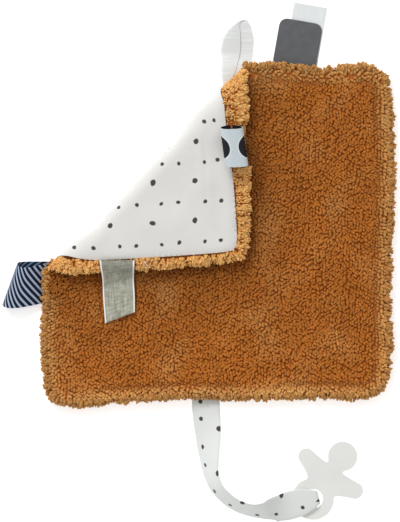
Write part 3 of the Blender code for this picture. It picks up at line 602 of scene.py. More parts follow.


# %% [markdown]
# Where the locks go. On the flat they stand in the loose columns of the knit. The lean
# wanders like wind over grass, and turns outwards near the hem. Under the ribbons and over the
# label the pile is pressed short, and along the hem's inner side it sinks into a shallow
# valley, whose locks also get painted shade. Beside the folded corner the pile gets a painted
# shadow of the corner, and towards the lower edge it is made lighter. These helpers answer
# such questions for one place in plan.

# %% What the pile does at a place
PLUSH_LOW = 0.9 * MM
PLUSH_TOP = 8.3 * MM
PLUSH_THICKNESS = PLUSH_TOP - PLUSH_LOW
HEM_RADIUS = 3.6 * MM
DOT_WIDTH = 27 * MM
DOT_SPREAD = 15.9 * MM
GREY_WIDTH = 25 * MM
GREY_LENGTH = 40.3 * MM
GREY_SEWN_IN = 3 * MM
PRESSED_MARGIN = 1 * MM
PRESSED_SHARE = 0.72
VALLEY_DEPTH = 10.5 * MM
VALLEY_WIDTH = 1.9 * MM
VALLEY_PATCH = 38 * MM
# The pile is made lighter towards the lower edge. Beside the folded corner it is darkened as a painted
# shadow, widely outside the corner and in a narrow band under it.
LOW_PART = 60 * MM
LOW_PART_LIGHT = 0.14
CORNER_SHADOW_SHARE = 0.45
CORNER_SHADOW_REACH = 20 * MM
LEAN_PATCH = 45 * MM
LEAN_RIPPLE = 14 * MM
dot_root = Vector(joints["dot_ribbon_lean"]["pos_m"])
grey_root = Vector(joints["grey_ribbon_lift"]["pos_m"])


def between(value, low=0, high=1):
    """A value held between two limits."""
    return max(low, min(high, value))


def wander(point, size, offset=0):
    """Smooth noise in plan with hills of this size."""
    return noise.noise(point.to_3d() / size + Vector((0, 0, offset)))


def under_grey_ribbon(point):
    """Whether the grey ribbon lies on the pile here."""
    reach = grey_root.y - point.y
    inside = abs(point.x - grey_root.x) < GREY_WIDTH / 2 + PRESSED_MARGIN
    return inside and -GREY_SEWN_IN < reach < GREY_LENGTH


def under_dot_ribbon(point):
    """Whether the dot ribbon stands on the pile here."""
    away = point - dot_root.xy
    return (abs(away.x) < DOT_SPREAD / 2 + PRESSED_MARGIN
            and abs(away.y) < DOT_WIDTH / 2 + 2 * PRESSED_MARGIN)


def over_label(point):
    """Whether the care label leaves the seam below the pile here."""
    low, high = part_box("care_label")
    return point.y > 0 and low.x < point.x < high.x


def valley_at(point, inside):
    """How deep the valley along the hem is, from 0 to 1. It comes and goes."""
    strength = between(0.55 + 1.6 * wander(point, VALLEY_PATCH, 3))
    return strength * math.exp(-((inside - VALLEY_DEPTH) / VALLEY_WIDTH) ** 2)


def tone_with_painted_shadow(point, across):
    """A random tone, lighter towards the bottom, with painted shadow beside the folded corner."""
    light = 0.9 + 0.2 * chance.random()
    light *= 1 + LOW_PART_LIGHT * between(-point.y / LOW_PART - 1)
    # Painted shadow of the folded corner, darkest at its outline.
    if across > 0:
        mirrored = FOLD_OVER @ point.to_3d()
        inside, _ = from_hem(mirrored.xy)
        reach = CORNER_SHADOW_REACH if inside < 0 else CORNER_SHADOW_REACH / 3
        light *= 1 - CORNER_SHADOW_SHARE * math.exp(-abs(inside) / reach)
    return light


def lean_at(point):
    """The way the pile leans at a place on the flat."""
    angle = -math.pi / 2 + 1.3 * wander(point, LEAN_PATCH) + 0.9 * wander(point, LEAN_RIPPLE, 5)
    angle += chance.uniform(-0.3, 0.3)
    return Vector((math.cos(angle), math.sin(angle)))


# %% [markdown]
# The locks on the flat are set out unfolded, in columns and rows that are half a step apart
# in every second column. Each helper here returns two lists, the blanket's locks and those of
# the corner, because the corner is a piece of its own that turns.

# %% Locks on the flat
COLUMN_SPACING = 1.95 * MM
ROW_SPACING = 2.4 * MM
KNIT_PATCH = 12 * MM
KNIT_WANDER = 1.6
LOCK_LENGTH = 4.6 * MM
LENGTH_PATCH = 6 * MM
ROOT_HEIGHT = PLUSH_TOP - 3.8 * MM
HEM_TURN = 12 * MM
PALE_BAND = 13 * MM
PALE_PATCH = 24 * MM
PARTING = 2.0 * MM


def flat_lock(point):
    """One lock on the flat, or nothing where the hem or the fold is."""
    inside, outward = from_hem(point)
    along, across = into_fold(point)
    if inside < HEM_RADIUS * 0.9 or abs(across) < PARTING:
        return None
    turn = max(0, 1 - inside / HEM_TURN)
    lean = (lean_at(point) * (1 - turn) + outward * turn * 1.4).to_3d()
    if abs(across) < 3 * PARTING:
        lean = ALONG * chance.choice((-1, 1)) + INWARD * math.copysign(0.2, across)
    valley = valley_at(point, inside)
    length = LOCK_LENGTH * chance.uniform(0.9, 1.1) * (1 + 0.12 * wander(point, LENGTH_PATCH))
    length *= 1 - 0.3 * valley
    if across > 0 and under_grey_ribbon(point):
        length *= PRESSED_SHARE
    pale = max(0, 1 - inside / PALE_BAND) * 0.9 + 0.35 * max(0, wander(point, PALE_PATCH, 9))
    # In the valley the locks are darkened as painted shade, besides being shortened.
    shade = tone_with_painted_shadow(point, across) * (1 - 0.2 * valley)
    facing = Vector((chance.uniform(-0.12, 0.12), chance.uniform(-0.12, 0.12), 1)).normalized()
    spot = point.to_3d() + waved(along, across) + UP * ROOT_HEIGHT
    lock = Lock(chance.choice(top_curls), spot, facing, lean.normalized(), length, shade, min(1, pale))
    return lock, across


def flat_locks():
    """Locks all over the flat of the unfolded blanket."""
    kept = ([], [])
    columns = int(BLANKET_WIDTH / COLUMN_SPACING) + 4
    rows = int(BLANKET_HEIGHT / ROW_SPACING) + 4
    for column in range(columns):
        for row in range(rows):
            point = Vector((
                (column - columns / 2 + chance.uniform(-0.2, 0.2)) * COLUMN_SPACING,
                (row - rows / 2 + 0.5 * (column % 2) + chance.uniform(-0.2, 0.2)) * ROW_SPACING))
            point += Vector((wander(point, KNIT_PATCH, 1), wander(point, KNIT_PATCH, 2))) * KNIT_WANDER * MM
            found = flat_lock(point)
            if found:
                lock, across = found
                kept[across < 0].append(lock)
    return kept


# %% [markdown]
# When the corner lies open, its two halves meet in a line along the fold. The pile of the
# real cloth closes over such a line, so short locks stand on both sides of it. Where the fold
# bulges out, its two sides overlap when it opens, and more rows are set.

# %% Locks beside the fold
CREASE_PLACE = 2.1 * MM
CREASE_ROW = 1.3 * MM
CREASE_ROWS = 2
CREASE_SPACING = 1.5 * MM
CREASE_ROOT = PLUSH_TOP - 2.0 * MM
CREASE_RAISED = 0.4 * MM
CREASE_LENGTH = 3.5 * MM


def crease_locks():
    """Short locks on each side of the fold, which hide it when it lies open."""
    kept = ([], [])
    steps = int(FOLD_LENGTH * 1.2 / CREASE_SPACING)
    for step in range(steps):
        bulge = max(0, -wave_at((step - steps / 2) * CREASE_SPACING, 0))
        rows = range(CREASE_ROWS + int(2.2 * bulge / CREASE_ROW))
        for side, row in [(side, row) for side in (1, -1) for row in rows]:
            along = (step - steps / 2 + chance.uniform(-0.3, 0.3)) * CREASE_SPACING
            place = CREASE_PLACE + row * CREASE_ROW
            point = HINGE + ALONG * along + INWARD * side * place
            inside, _ = from_hem(point.xy)
            if inside < HEM_RADIUS * 0.6:
                continue
            spot = point + INWARD * side * wave_at(along, place)
            spot.z = CREASE_ROOT + min(CREASE_RAISED, 0.3 * bulge)
            lean = ALONG * chance.choice((-1, 1)) - INWARD * side * 0.3
            kept[side < 0].append(Lock(
                chance.choice(top_curls), spot, UP, lean, CREASE_LENGTH * chance.uniform(0.9, 1.1),
                tone_with_painted_shadow(point.xy, side), 0.0))
    return kept


base_flat, flap_flat = [flat + crease for flat, crease in zip(flat_locks(), crease_locks())]
print("locks on the flat:", len(base_flat), "and", len(flap_flat))

# %% [markdown]
# Round the hem the fleece turns under, and its locks stand out sideways. They are set in rows
# round the edge, from facing up to facing down. Neighbours are drawn together into tufts,
# which give the blanket its ragged golden border. More rows lie in a band under the hem, as
# far as the seam.

# %% Locks round the hem
HEM_SPACING = 1.45 * MM
HEM_CORE = 1.5 * MM
HEM_LENGTH = 4.6 * MM
HEM_SCATTER = 0.5 * MM
HEM_LIGHT = 0.84
# The corner's hem and the roll's ends get painted light, brighter than the blanket's hem, because they
# stand higher and face the lamp.
CORNER_PAINTED_LIGHT = 1.2
HEM_PALENESS = 0.35
CORNER_PALENESS = 0.6
HEM_FACINGS = (68, 45, 22, 0, -22, -45, -68)
SEAM_SLACK = 0.2 * MM
BAND_START = 4.3 * MM
BAND_SPACING = 1.6 * MM
BAND_ROWS = 8
BAND_HEIGHT = 2.4 * MM
BAND_RISE = 0.45 * MM
BAND_RISING_ROWS = 3
BAND_SHARE = 0.75
TUFT_SIZE = 4.5 * MM
TUFT_PATCH = 17 * MM
PARTING_AT_HEM = 1.0 * MM
ROLL_GAP = 0.15 * MM


def nose_low(across):
    """The underside of the fleece, which rises round the roll towards the fold."""
    reach = between((PLUSH_TOP + ROLL_GAP - abs(across)) / PLUSH_THICKNESS)
    return PLUSH_TOP - PLUSH_THICKNESS * math.sqrt(1 - reach ** 2)


def pressed_at_edge(point, across, turn):
    """What a ribbon or the label leaves of a lock's length here."""
    if across < 0:
        seen = (FOLD_OVER @ point.to_3d()).xy
        share = PRESSED_SHARE if under_grey_ribbon(seen) else 1
        return share * PRESSED_SHARE ** 3 if under_dot_ribbon(seen) else share
    return PRESSED_SHARE if turn < 10 and over_label(point) else 1


def edge_lock(point, outward, height, turn):
    """A lock that stands out from the hem at this turn from level, in its tuft."""
    along, across = into_fold(point)
    if abs(across) < PARTING_AT_HEM:
        return None
    low = nose_low(across)
    height = PLUSH_TOP - (PLUSH_TOP - height) * (PLUSH_TOP - low) / PLUSH_THICKNESS
    out = outward.to_3d()
    edge = Vector((-out.y, out.x, 0))
    draw = wander(point, TUFT_SIZE, 4) - wander(point + edge.xy * 1 * MM, TUFT_SIZE, 4)
    tilt = math.radians(turn + chance.uniform(-12, 12))
    facing = out * math.cos(tilt) + UP * math.sin(tilt) + edge * (chance.uniform(-0.2, 0.2) - 2.2 * draw)
    lean = edge * chance.uniform(-1, 1) + UP * chance.uniform(-1, 0.6) + out * 0.3
    tuft = 1 + 0.42 * wander(point, TUFT_SIZE, 4) + 0.2 * wander(point, TUFT_PATCH, 6)
    length = HEM_LENGTH * tuft * chance.uniform(0.88, 1.12) * (BAND_SHARE if turn < -60 else 1)
    length *= pressed_at_edge(point, across, turn)
    spot = point.to_3d() + waved(along, across) + UP * height
    # Painted light on the corner's hem.
    light, paleness = (HEM_LIGHT, HEM_PALENESS) if across > 0 else (CORNER_PAINTED_LIGHT, CORNER_PALENESS)
    lock = Lock(chance.choice(hem_curls), spot, facing.normalized(), lean.normalized(), length,
                (0.92 + 0.16 * chance.random()) * light, paleness + 0.4 * chance.random())
    return lock, across


def hem_rows():
    """Depth inside the outline, height and turn from level of each row of locks."""
    middle = (PLUSH_LOW + PLUSH_TOP) / 2
    rows = [(HEM_RADIUS - HEM_CORE * math.cos(math.radians(turn)),
             middle + HEM_CORE * math.sin(math.radians(turn)), turn) for turn in HEM_FACINGS]
    for row in range(BAND_ROWS):
        height = BAND_HEIGHT + min(row, BAND_RISING_ROWS) * BAND_RISE
        rows.append((BAND_START + row * BAND_SPACING, height, max(-83, -28 - 11 * row)))
    return rows


def hem_locks():
    """Locks in rows round the hem and under it."""
    kept = ([], [])
    for depth, height, turn in hem_rows():
        for point, outward in evenly(inset(OUTLINE, depth), HEM_SPACING):
            if depth > seam_depth(point, outward) + SEAM_SLACK:
                continue
            point = point + Vector((chance.uniform(-1, 1), chance.uniform(-1, 1))) * HEM_SCATTER
            found = edge_lock(point, outward, height, turn)
            if found:
                lock, across = found
                kept[across < 0].append(lock)
    return kept


# %% [markdown]
# The fold is a roll, and at both of its ends the seam leaves the roll's fleece bare. Its locks
# fan out round the roll there, from level to straight down.

# %% Locks on the roll's ends
ROLL_CORE = PLUSH_THICKNESS - 3.4 * MM
ROLL_END = 6 * MM
ROLL_END_STEPS = 20
ROLL_FACINGS = (4, 20, 36, 52, 68, 84)


def roll_locks():
    """Locks on both ends of the roll, where the seam has left it bare."""
    kept = ([], [])
    centre = PLUSH_TOP + ROLL_GAP
    starts = [(end, side) for end in (1, -1) for side in (1, -1)]
    for end, side in starts:
        for step in range(ROLL_END_STEPS):
            along = end * (FOLD_LENGTH / 2 - ROLL_END + step * HEM_SPACING)
            flat = HINGE + ALONG * along + INWARD * side * centre / 2
            inside, outward = from_hem(flat.xy)
            if inside < 2 * MM or inside > seam_depth(flat.xy, outward) + 1 * MM:
                continue
            for turn in ROLL_FACINGS:
                angle = math.radians(turn + chance.uniform(-6, 6))
                out = -INWARD * side * math.cos(angle) - UP * math.sin(angle)
                spot = (HINGE + ALONG * (along + chance.uniform(-1, 1) * HEM_SCATTER)
                        + INWARD * side * (centre + wave_at(along, 0)))
                spot.z = PLUSH_TOP
                lean = ALONG * end + out * 0.2
                # Painted light on the roll's ends, as on the corner's hem.
                kept[side < 0].append(Lock(
                    chance.choice(hem_curls), spot + out * ROLL_CORE, out, lean.normalized(),
                    HEM_LENGTH * chance.uniform(0.85, 1.1), CORNER_PAINTED_LIGHT * chance.uniform(0.9, 1.1),
                    CORNER_PALENESS + 0.4 * chance.random()))
    return kept


base_hem, flap_hem = [flat + rolled_end for flat, rolled_end in zip(hem_locks(), roll_locks())]
print("locks round the hem:", len(base_hem), "and", len(flap_hem))

# %% [markdown]
# The coats. The flat of the blanket is laid in four strips and its hem in two halves, to keep
# each mesh a size that other programs open easily. The corner's locks are laid unfolded, like
# the rest, and then turned over with the corner.

# %% Coats of pile
STRIPS = ("lowest", "lower", "upper", "uppermost")


def strip_of(lock):
    """Which of the strips a lock belongs to."""
    return between(int((lock.root.y / BLANKET_HEIGHT + 0.5) * len(STRIPS)), 0, len(STRIPS) - 1)


base_coats = []
for index, name in enumerate(STRIPS):
    locks = [lock for lock in base_flat if strip_of(lock) == index]
    base_coats.append(lay_pile("base_pile_" + name, locks))
for name, side in (("left", -1), ("right", 1)):
    locks = [lock for lock in base_hem if lock.root.x * side >= 0]
    base_coats.append(lay_pile("base_pile_hem_" + name, locks))
flap_coats = [lay_pile("flap_pile", flap_flat, FOLD_OVER), lay_pile("flap_pile_hem", flap_hem, FOLD_OVER)]
for coat in base_coats:
    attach(coat, "blanket")
for coat in flap_coats:
    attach(coat, "corner_flap")
for curl_mesh in top_curls + hem_curls:
    bpy.data.meshes.remove(curl_mesh)
print("coats:", [(coat.name, len(coat.data.polygons)) for coat in base_coats + flap_coats])

# %% [markdown]
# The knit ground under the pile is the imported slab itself, drawn in by a few millimetres so
# that the locks stand out of it. A copy is merged first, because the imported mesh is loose
# triangles, and cut across the fold, so that it can follow the fold's wave.

# %% Knit ground
GROUND_DEPTH = 1.9 * MM
GROUND_CELL = 5 * MM
MERGE = 0.02 * MM


def ground(name, node_name, body):
    """The knit that a coat stands on."""
    shape = bmesh.new()
    shape.from_mesh(frame["nodes"][node_name].data)
    bmesh.ops.remove_doubles(shape, verts=shape.verts, dist=MERGE)
    for step in range(int(FOLD_LENGTH * 1.2 / GROUND_CELL)):
        place = HINGE + ALONG * (step * GROUND_CELL - 0.6 * FOLD_LENGTH)
        bmesh.ops.bisect_plane(shape, geom=shape.verts[:] + shape.edges[:] + shape.faces[:],
                               dist=MERGE, plane_co=place, plane_no=ALONG)
    shape.normal_update()
    moves = [(vert, vert.normal.copy()) for vert in shape.verts]
    for vert, normal in moves:
        along, across = into_fold(vert.co.xy)
        vert.co += INWARD * wave_at(along, across) - normal * GROUND_DEPTH
    made = piece(name, shape, KNIT)
    settled(made)
    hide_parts(node_name)
    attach(made, body)
    print(name, "has", len(made.data.polygons), "faces")


ground("base_knit_ground", "base_plush_face", "blanket")
ground("flap_knit_ground", "flap_plush_face", "corner_flap")

# %% [markdown]
# The muslin is one square that runs under the blanket, round the fold and over the folded
# corner, so it is made as one flat sheet and then bent. In the fold's frame the cloth is
# measured along the fold and across it. Round the roll it follows half an ellipse, and beyond
# the roll it lies flat. On the corner it ruffles a little, and two ironed lines stand up.

# %% The roll of the muslin
MUSLIN_THICKNESS = 0.6 * MM
ROLL_REACH = 8.45 * MM
ROLL_RADIUS = 8.0 * MM
ROLL_LENGTH = math.pi * ROLL_RADIUS
SEAM_DIP = 1.1 * MM
SEAM_BAND = 3.5 * MM
RUFFLE_SIZE = 26 * MM
RUFFLE_HEIGHT = 1.8 * MM
PRESSED_LINES = (-4.6 * MM, -11.5 * MM)
PRESSED_WIDTH = 1.0 * MM
PRESSED_HEIGHT = 0.75 * MM
PRESSED_FADE = 20 * MM


def unrolled(point):
    """A point of the flat outline, with the extra cloth that the roll takes."""
    along, across = into_fold(point)
    if abs(across) < ROLL_REACH:
        return along, across * ROLL_LENGTH / 2 / ROLL_REACH
    return along, across + math.copysign(ROLL_LENGTH / 2 - ROLL_REACH, across)


def rolled(along, cloth, edge_share):
    """Where the cloth lies when the corner is folded over."""
    half = ROLL_LENGTH / 2
    lift = HINGE.z - MUSLIN_THICKNESS / 2
    turn = between(cloth / half, -1, 1) * math.pi / 2
    across = ROLL_REACH - ROLL_RADIUS * math.cos(turn) + max(0, abs(cloth) - half)
    across += wave_at(along, across)
    dip = SEAM_DIP * edge_share ** 2
    height = HINGE.z - (lift - dip) * math.sin(turn)
    spot = HINGE + ALONG * along + INWARD * across
    if cloth < -half:
        ruffle = max(0, wander(spot.xy, RUFFLE_SIZE) * RUFFLE_HEIGHT)
        press = sum(math.exp(-((spot.x - place) / PRESSED_WIDTH) ** 2) for place in PRESSED_LINES)
        height += (1 - edge_share) * (ruffle + PRESSED_HEIGHT * press * between(spot.y / PRESSED_FADE))
    spot.z = height
    return spot


# %% [markdown]
# The blank is cut along its border and divided into small cells, so that it can bend. The UV
# map is read off before it bends. A pleat beside the upper seam takes in some of the print.

# %% Muslin square
MUSLIN_CELL = 3 * MM
PLEAT_PLACE = -6 * MM
PLEAT_WIDTH = 4 * MM
PLEAT_DEPTH = 6 * MM
PLEAT_START = 24 * MM
PLEAT_FADE = 58 * MM


def printed_place(flat):
    """The place on the print of a point on the flat sheet."""
    along, cloth = flat
    seen = HINGE + ALONG * along - INWARD * (cloth + ROLL_LENGTH / 2 - ROLL_REACH)
    pleated = between((seen.x - PLEAT_PLACE) / PLEAT_WIDTH + 0.5)
    seen.x += PLEAT_DEPTH * pleated * between((seen.y - PLEAT_START) / PLEAT_FADE)
    return seen.x, seen.y - PRINT_SKEW * seen.x


def muslin_square():
    """The whole sheet, bent over the corner."""
    border = [unrolled(point - outward * seam_depth(point, outward)) for point, outward in hem_points[::2]]
    edge_tree = kdtree.KDTree(len(border))
    for index, spot in enumerate(border):
        edge_tree.insert((*spot, 0), index)
    edge_tree.balance()
    shape = bmesh.new()
    uv = shape.loops.layers.uv.new("UVMap")
    corners = [shape.verts.new((*spot, 0)) for spot in border]
    bmesh.ops.contextual_create(shape, geom=corners)
    reach = BLANKET_WIDTH
    for step in range(int(2 * reach / MUSLIN_CELL)):
        for normal in ((1, 0, 0), (0, 1, 0)):
            place = Vector(normal) * (step * MUSLIN_CELL - reach)
            bmesh.ops.bisect_plane(shape, geom=shape.verts[:] + shape.edges[:] + shape.faces[:],
                                   dist=MERGE, plane_co=place, plane_no=normal)
    bmesh.ops.triangulate(shape, faces=[face for face in shape.faces if len(face.verts) > 4])
    for face in shape.faces:
        for loop in face.loops:
            loop[uv].uv = printed_place(loop.vert.co.xy)
    for vert in shape.verts:
        _, _, away = edge_tree.find(vert.co)
        vert.co = rolled(vert.co.x, vert.co.y, max(0, 1 - away / SEAM_BAND))
    made = piece("muslin_square", shape, MUSLIN)
    thicken(made, MUSLIN_THICKNESS)
    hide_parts("base_cotton_back", "flap_cotton_back")
    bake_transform(made)
    return made


muslin = muslin_square()
print("muslin faces:", len(muslin.data.polygons))

# %% [markdown]
# The two cloths are sewn together along the muslin's border. The stitches are short runs of
# brown thread that dip into the cloth between one stitch and the next. None are drawn round
# the roll, where the seam turns away from sight.

# %% Seam stitches
STITCH_LENGTH = 3.0 * MM
STITCH_RADIUS = 0.24 * MM
STITCH_OUT = 0.15 * MM


def spun_thread(name, dark, light):
    """Sewing thread that varies between two shades."""
    made, tree, shader = finish(name, 0.6, Sheen_Weight=0.2)
    where = node(tree, "ShaderNodeTexCoord").outputs["Object"]
    tree.links.new(ramp(tree, grain(tree, where, 1.2 * MM), (0.35, dark), (0.65, light)),
                   shader.inputs["Base Color"])
    bumped(tree, shader, grain(tree, where, 0.4 * MM), 0.1 * MM)
    return made


def thread_run(name, runs, radius, finish_material):
    """Thread through runs of points, made a mesh."""
    data = bpy.data.curves.new(name, "CURVE")
    data.dimensions = "3D"
    data.bevel_depth = radius
    data.bevel_resolution = 1
    data.use_fill_caps = True
    for points in runs:
        spline = data.splines.new("POLY")
        spline.points.add(len(points) - 1)
        for knot, point in zip(spline.points, points):
            knot.co = (*point, 1)
    curve = bpy.data.objects.new(name + "_curve", data)
    bpy.context.scene.collection.objects.link(curve)
    bpy.context.view_layer.update()
    mesh = bpy.data.meshes.new_from_object(curve.evaluated_get(bpy.context.evaluated_depsgraph_get()))
    bpy.data.objects.remove(curve)
    mesh.materials.clear()
    mesh.materials.append(finish_material)
    mesh.shade_smooth()
    thread = bpy.data.objects.new(name, mesh)
    bpy.context.scene.collection.objects.link(thread)
    return thread


def seam_stitches():
    """Runs of points for the stitches of the blanket and of the corner."""
    runs = ([], [])
    half = ROLL_LENGTH / 2
    steps = int(STITCH_LENGTH / MM)
    for index in range(0, len(hem_points) - steps, steps):
        run = []
        for step in range(steps):
            point, outward = hem_points[index + step]
            along, cloth = unrolled(point - outward * (seam_depth(point, outward) - STITCH_OUT))
            sunk = abs(step / (steps - 1) - 0.5) * 2 * STITCH_RADIUS
            spot = rolled(along, cloth, 1)
            spot.z += (MUSLIN_THICKNESS / 2 - sunk) * (1 if cloth < 0 else -1)
            run.append(spot)
        if abs(cloth) > half:
            runs[cloth < 0].append(run)
    return runs


BROWN_THREAD = spun_thread("spun_polyester_thread", "#7A4018", "#A26430")
for name, runs, node_name, body in zip(
        ("base_seam_stitches", "flap_seam_stitches"), seam_stitches(),
        ("base_seam_thread", "flap_seam_thread"), ("blanket", "corner_flap")):
    stitches = thread_run(name, runs, STITCH_RADIUS, BROWN_THREAD)
    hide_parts(node_name)
    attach(stitches, body)
    print(name, "has", len(runs), "stitches")

# %% [markdown]
# Ribbons. Each one is a strip through a few curves that are drawn across its width. The grid
# that makes it gets a UV map in metres before it is bent: X across the ribbon, Y along it.

# %% Strips of ribbon
RIBBON_THICKNESS = 0.45 * MM
WIDTH_SHARES = [-0.5, -0.46, -0.25, 0, 0.25, 0.46, 0.5]
MIDDLE = WIDTH_SHARES.index(0)


def length_of(row):
    """The length of a run of points."""
    return sum((ahead - here).length for here, ahead in zip(row, row[1:]))


def strip(name, rows, shares, width, thickness, finish_material, inner=None):
    """A ribbon through rows of points. Each row runs along it, at its share of the width."""
    columns = len(rows[0]) - 1
    lines = len(rows) - 1
    length = sum(length_of(row) for row in rows) / len(rows)
    shape = bmesh.new()
    uv = shape.loops.layers.uv.new("UVMap")
    bmesh.ops.create_grid(shape, x_segments=columns, y_segments=lines, size=1)
    for face in shape.faces:
        for loop in face.loops:
            spot = loop.vert.co
            share = shares[round((spot.y + 1) / 2 * lines)]
            loop[uv].uv = ((share + 0.5) * width, (spot.x + 1) / 2 * length)
    for vert in shape.verts:
        column = round((vert.co.x + 1) / 2 * columns)
        line = round((vert.co.y + 1) / 2 * lines)
        vert.co = rows[line][column]
    made = piece(name, shape, finish_material, turned=False)
    thicken(made, thickness, inner)
    print(name, "is", round(length / MM, 1), "mm of ribbon")
    return made, length


# %% [markdown]
# The dot ribbon is printed grosgrain, a ribbed polyester weave: pale blue with big black dots,
# and black on its inner side. It stands on the corner's right seam like a small tunnel.

# %% Dot ribbon finish
DOT_RADIUS = 8.1 * MM
DOT_HALO = 0.55 * MM
DOT_SPACING = 22.6 * MM
RIB_SPACING = 0.9 * MM


def grosgrain(name, ground_code, dot_code=None, halo_code=None, middle=0):
    """Ribbed ribbon, plain or with dots on both sides of this middle of its length."""
    made, tree, shader = finish(name, 0.65, Specular_IOR_Level=0.15)
    where = node(tree, "ShaderNodeTexCoord").outputs["UV"]
    colour = ramp(tree, grain(tree, where, 4 * MM), (0.3, ground_code), (0.7, ground_code))
    if dot_code:
        apart = node(tree, "ShaderNodeSeparateXYZ", {"Vector": where})
        from_top = node(tree, "ShaderNodeMath", {0: apart.outputs["Y"], 1: middle}, operation="SUBTRACT")
        turn = node(tree, "ShaderNodeMath", {0: from_top.outputs[0], 1: DOT_SPACING}, operation="PINGPONG")
        down = node(tree, "ShaderNodeMath", {0: turn.outputs[0], 1: DOT_SPACING / 2}, operation="SUBTRACT")
        across = node(tree, "ShaderNodeMath", {0: apart.outputs["X"], 1: DOT_WIDTH / 2},
                      operation="SUBTRACT")
        spot = node(tree, "ShaderNodeCombineXYZ", {"X": across.outputs[0], "Y": down.outputs[0]})
        away = node(tree, "ShaderNodeVectorMath", {0: spot.outputs[0]}, operation="LENGTH")
        for radius, code in ((DOT_RADIUS + DOT_HALO, halo_code), (DOT_RADIUS, dot_code)):
            dot = node(tree, "ShaderNodeMapRange", {
                "Value": away.outputs["Value"], "From Min": radius - 0.1 * MM,
                "From Max": radius + 0.15 * MM, "To Min": 1.0, "To Max": 0.0})
            colour = node(tree, "ShaderNodeMix", {
                "Factor": dot.outputs[0], "A": colour, "B": srgb(code)}, data_type="RGBA").outputs["Result"]
    tree.links.new(colour, shader.inputs["Base Color"])
    bumped(tree, shader, threads(tree, where, None, RIB_SPACING), 0.12 * MM, 0.7)
    return made


# %% Dot ribbon
DOT_SKEW_SHARE = 0.11
DOT_SHIFT = 0.5 * MM
DOT_HEIGHT = 11.2 * MM
DOT_FOOT = 0.6 * MM
DOT_LEAN_SHARE = 0.30
DOT_SIDE_SHARES = [(0.45, 0.10), (0.85, 0.33), (1.00, 0.60), (0.82, 0.86), (0.42, 0.98)]


def dot_ribbon():
    """The loop, whose rounded sides rise from one seam to a flat top."""
    along = Vector(joints["dot_ribbon_lean"]["axis"]).normalized()
    out = Vector((along.y, -along.x, 0))
    right = [(x * DOT_SPREAD / 2, z * DOT_HEIGHT) for x, z in DOT_SIDE_SHARES]
    left = [(-x, z) for x, z in reversed(right)]
    side = smooth([(DOT_FOOT, 0), *right, (0, DOT_HEIGHT), *left, (-DOT_FOOT, 0)], 5)[::-1]
    rows = [[dot_root + out * (x + DOT_SHIFT - DOT_SKEW_SHARE * share * DOT_WIDTH)
             + along * (share * DOT_WIDTH - DOT_LEAN_SHARE * z) + UP * z
             for x, z in side] for share in WIDTH_SHARES]
    top = length_of(rows[MIDDLE]) / 2
    made, length = strip("dot_ribbon", rows, WIDTH_SHARES, DOT_WIDTH, RIBBON_THICKNESS,
                         grosgrain("printed_grosgrain", "#CBD5D9", "#1F2126", "#EDF2F3", top),
                         grosgrain("black_grosgrain", "#1B1C20"))
    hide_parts("dot_ribbon_loop")
    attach(made, "dot_ribbon")


dot_ribbon()

# %% [markdown]
# The grey ribbon is a linen weave with white selvedges, the firm woven edges that keep it from
# fraying. It leaves the corner's lower seam, drops over the fleece and lies on the blanket,
# doubled back under itself. A sharp crease crosses it where it meets the blanket. Above the
# crease it hangs clear of its own lower half, and that part is darkened with painted shade.

# %% Grey ribbon finish
SELVEDGE_WIDTH = 1.25 * MM
SELVEDGE_INSIDE = 1.0 * MM
# Painted shade over the end of the ribbon that falls from the rim.
SHADED_END_LENGTH = 17 * MM
SHADED_END_FADE = 14 * MM
SHADED_END_LIGHT = 0.74


def linen(width, length):
    """Linen weave with selvedges on a ribbon of this size, with painted shade over its falling end."""
    made, tree, shader = finish("selvedged_linen", 0.6, Sheen_Weight=0.15, Specular_IOR_Level=0.35)
    where = node(tree, "ShaderNodeTexCoord").outputs["UV"]
    slubs = grain(tree, where, 2.5 * MM, 3.0, (0.35, 2.2, 1))
    cross = grain(tree, where, 2.5 * MM, 3.0, (2.4, 0.3, 1))
    both = node(tree, "ShaderNodeMath", {0: slubs, 1: cross}, operation="ADD")
    half = node(tree, "ShaderNodeMath", {0: both.outputs[0], 1: 0.5}, operation="MULTIPLY")
    cloth = ramp(tree, half.outputs[0], (0.36, "#8B8A79"), (0.5, "#A9A999"), (0.64, "#C3C3B6"))
    apart = node(tree, "ShaderNodeSeparateXYZ", {"Vector": where})
    # Painted shade over the last part of the ribbon's upper layer, where it falls from the rim.
    painted_end_shade = node(tree, "ShaderNodeMapRange", {
        "Value": apart.outputs["Y"], "From Min": length - SHADED_END_LENGTH,
        "From Max": length - SHADED_END_FADE, "To Min": 1.0, "To Max": SHADED_END_LIGHT})
    cloth = node(tree, "ShaderNodeVectorMath", {0: cloth, "Scale": painted_end_shade.outputs[0]},
                 operation="SCALE").outputs[0]
    middle = node(tree, "ShaderNodeMath", {0: apart.outputs["X"], 1: width / 2}, operation="SUBTRACT")
    away = node(tree, "ShaderNodeMath", {0: middle.outputs[0]}, operation="ABSOLUTE")
    edge = node(tree, "ShaderNodeMapRange", {
        "Value": away.outputs[0], "From Min": width / 2 - SELVEDGE_WIDTH,
        "From Max": width / 2 - SELVEDGE_INSIDE})
    colour = node(tree, "ShaderNodeMix", {
        "Factor": edge.outputs[0], "A": cloth, "B": srgb("#F4F4F0")}, data_type="RGBA")
    tree.links.new(colour.outputs["Result"], shader.inputs["Base Color"])
    weave = threads(tree, where, 0.8 * MM, 0.8 * MM)
    relief = node(tree, "ShaderNodeMath", {0: weave, 1: 0.4, 2: half.outputs[0]}, operation="MULTIPLY_ADD")
    bumped(tree, shader, relief.outputs[0], 0.2 * MM, 0.6)
    return made


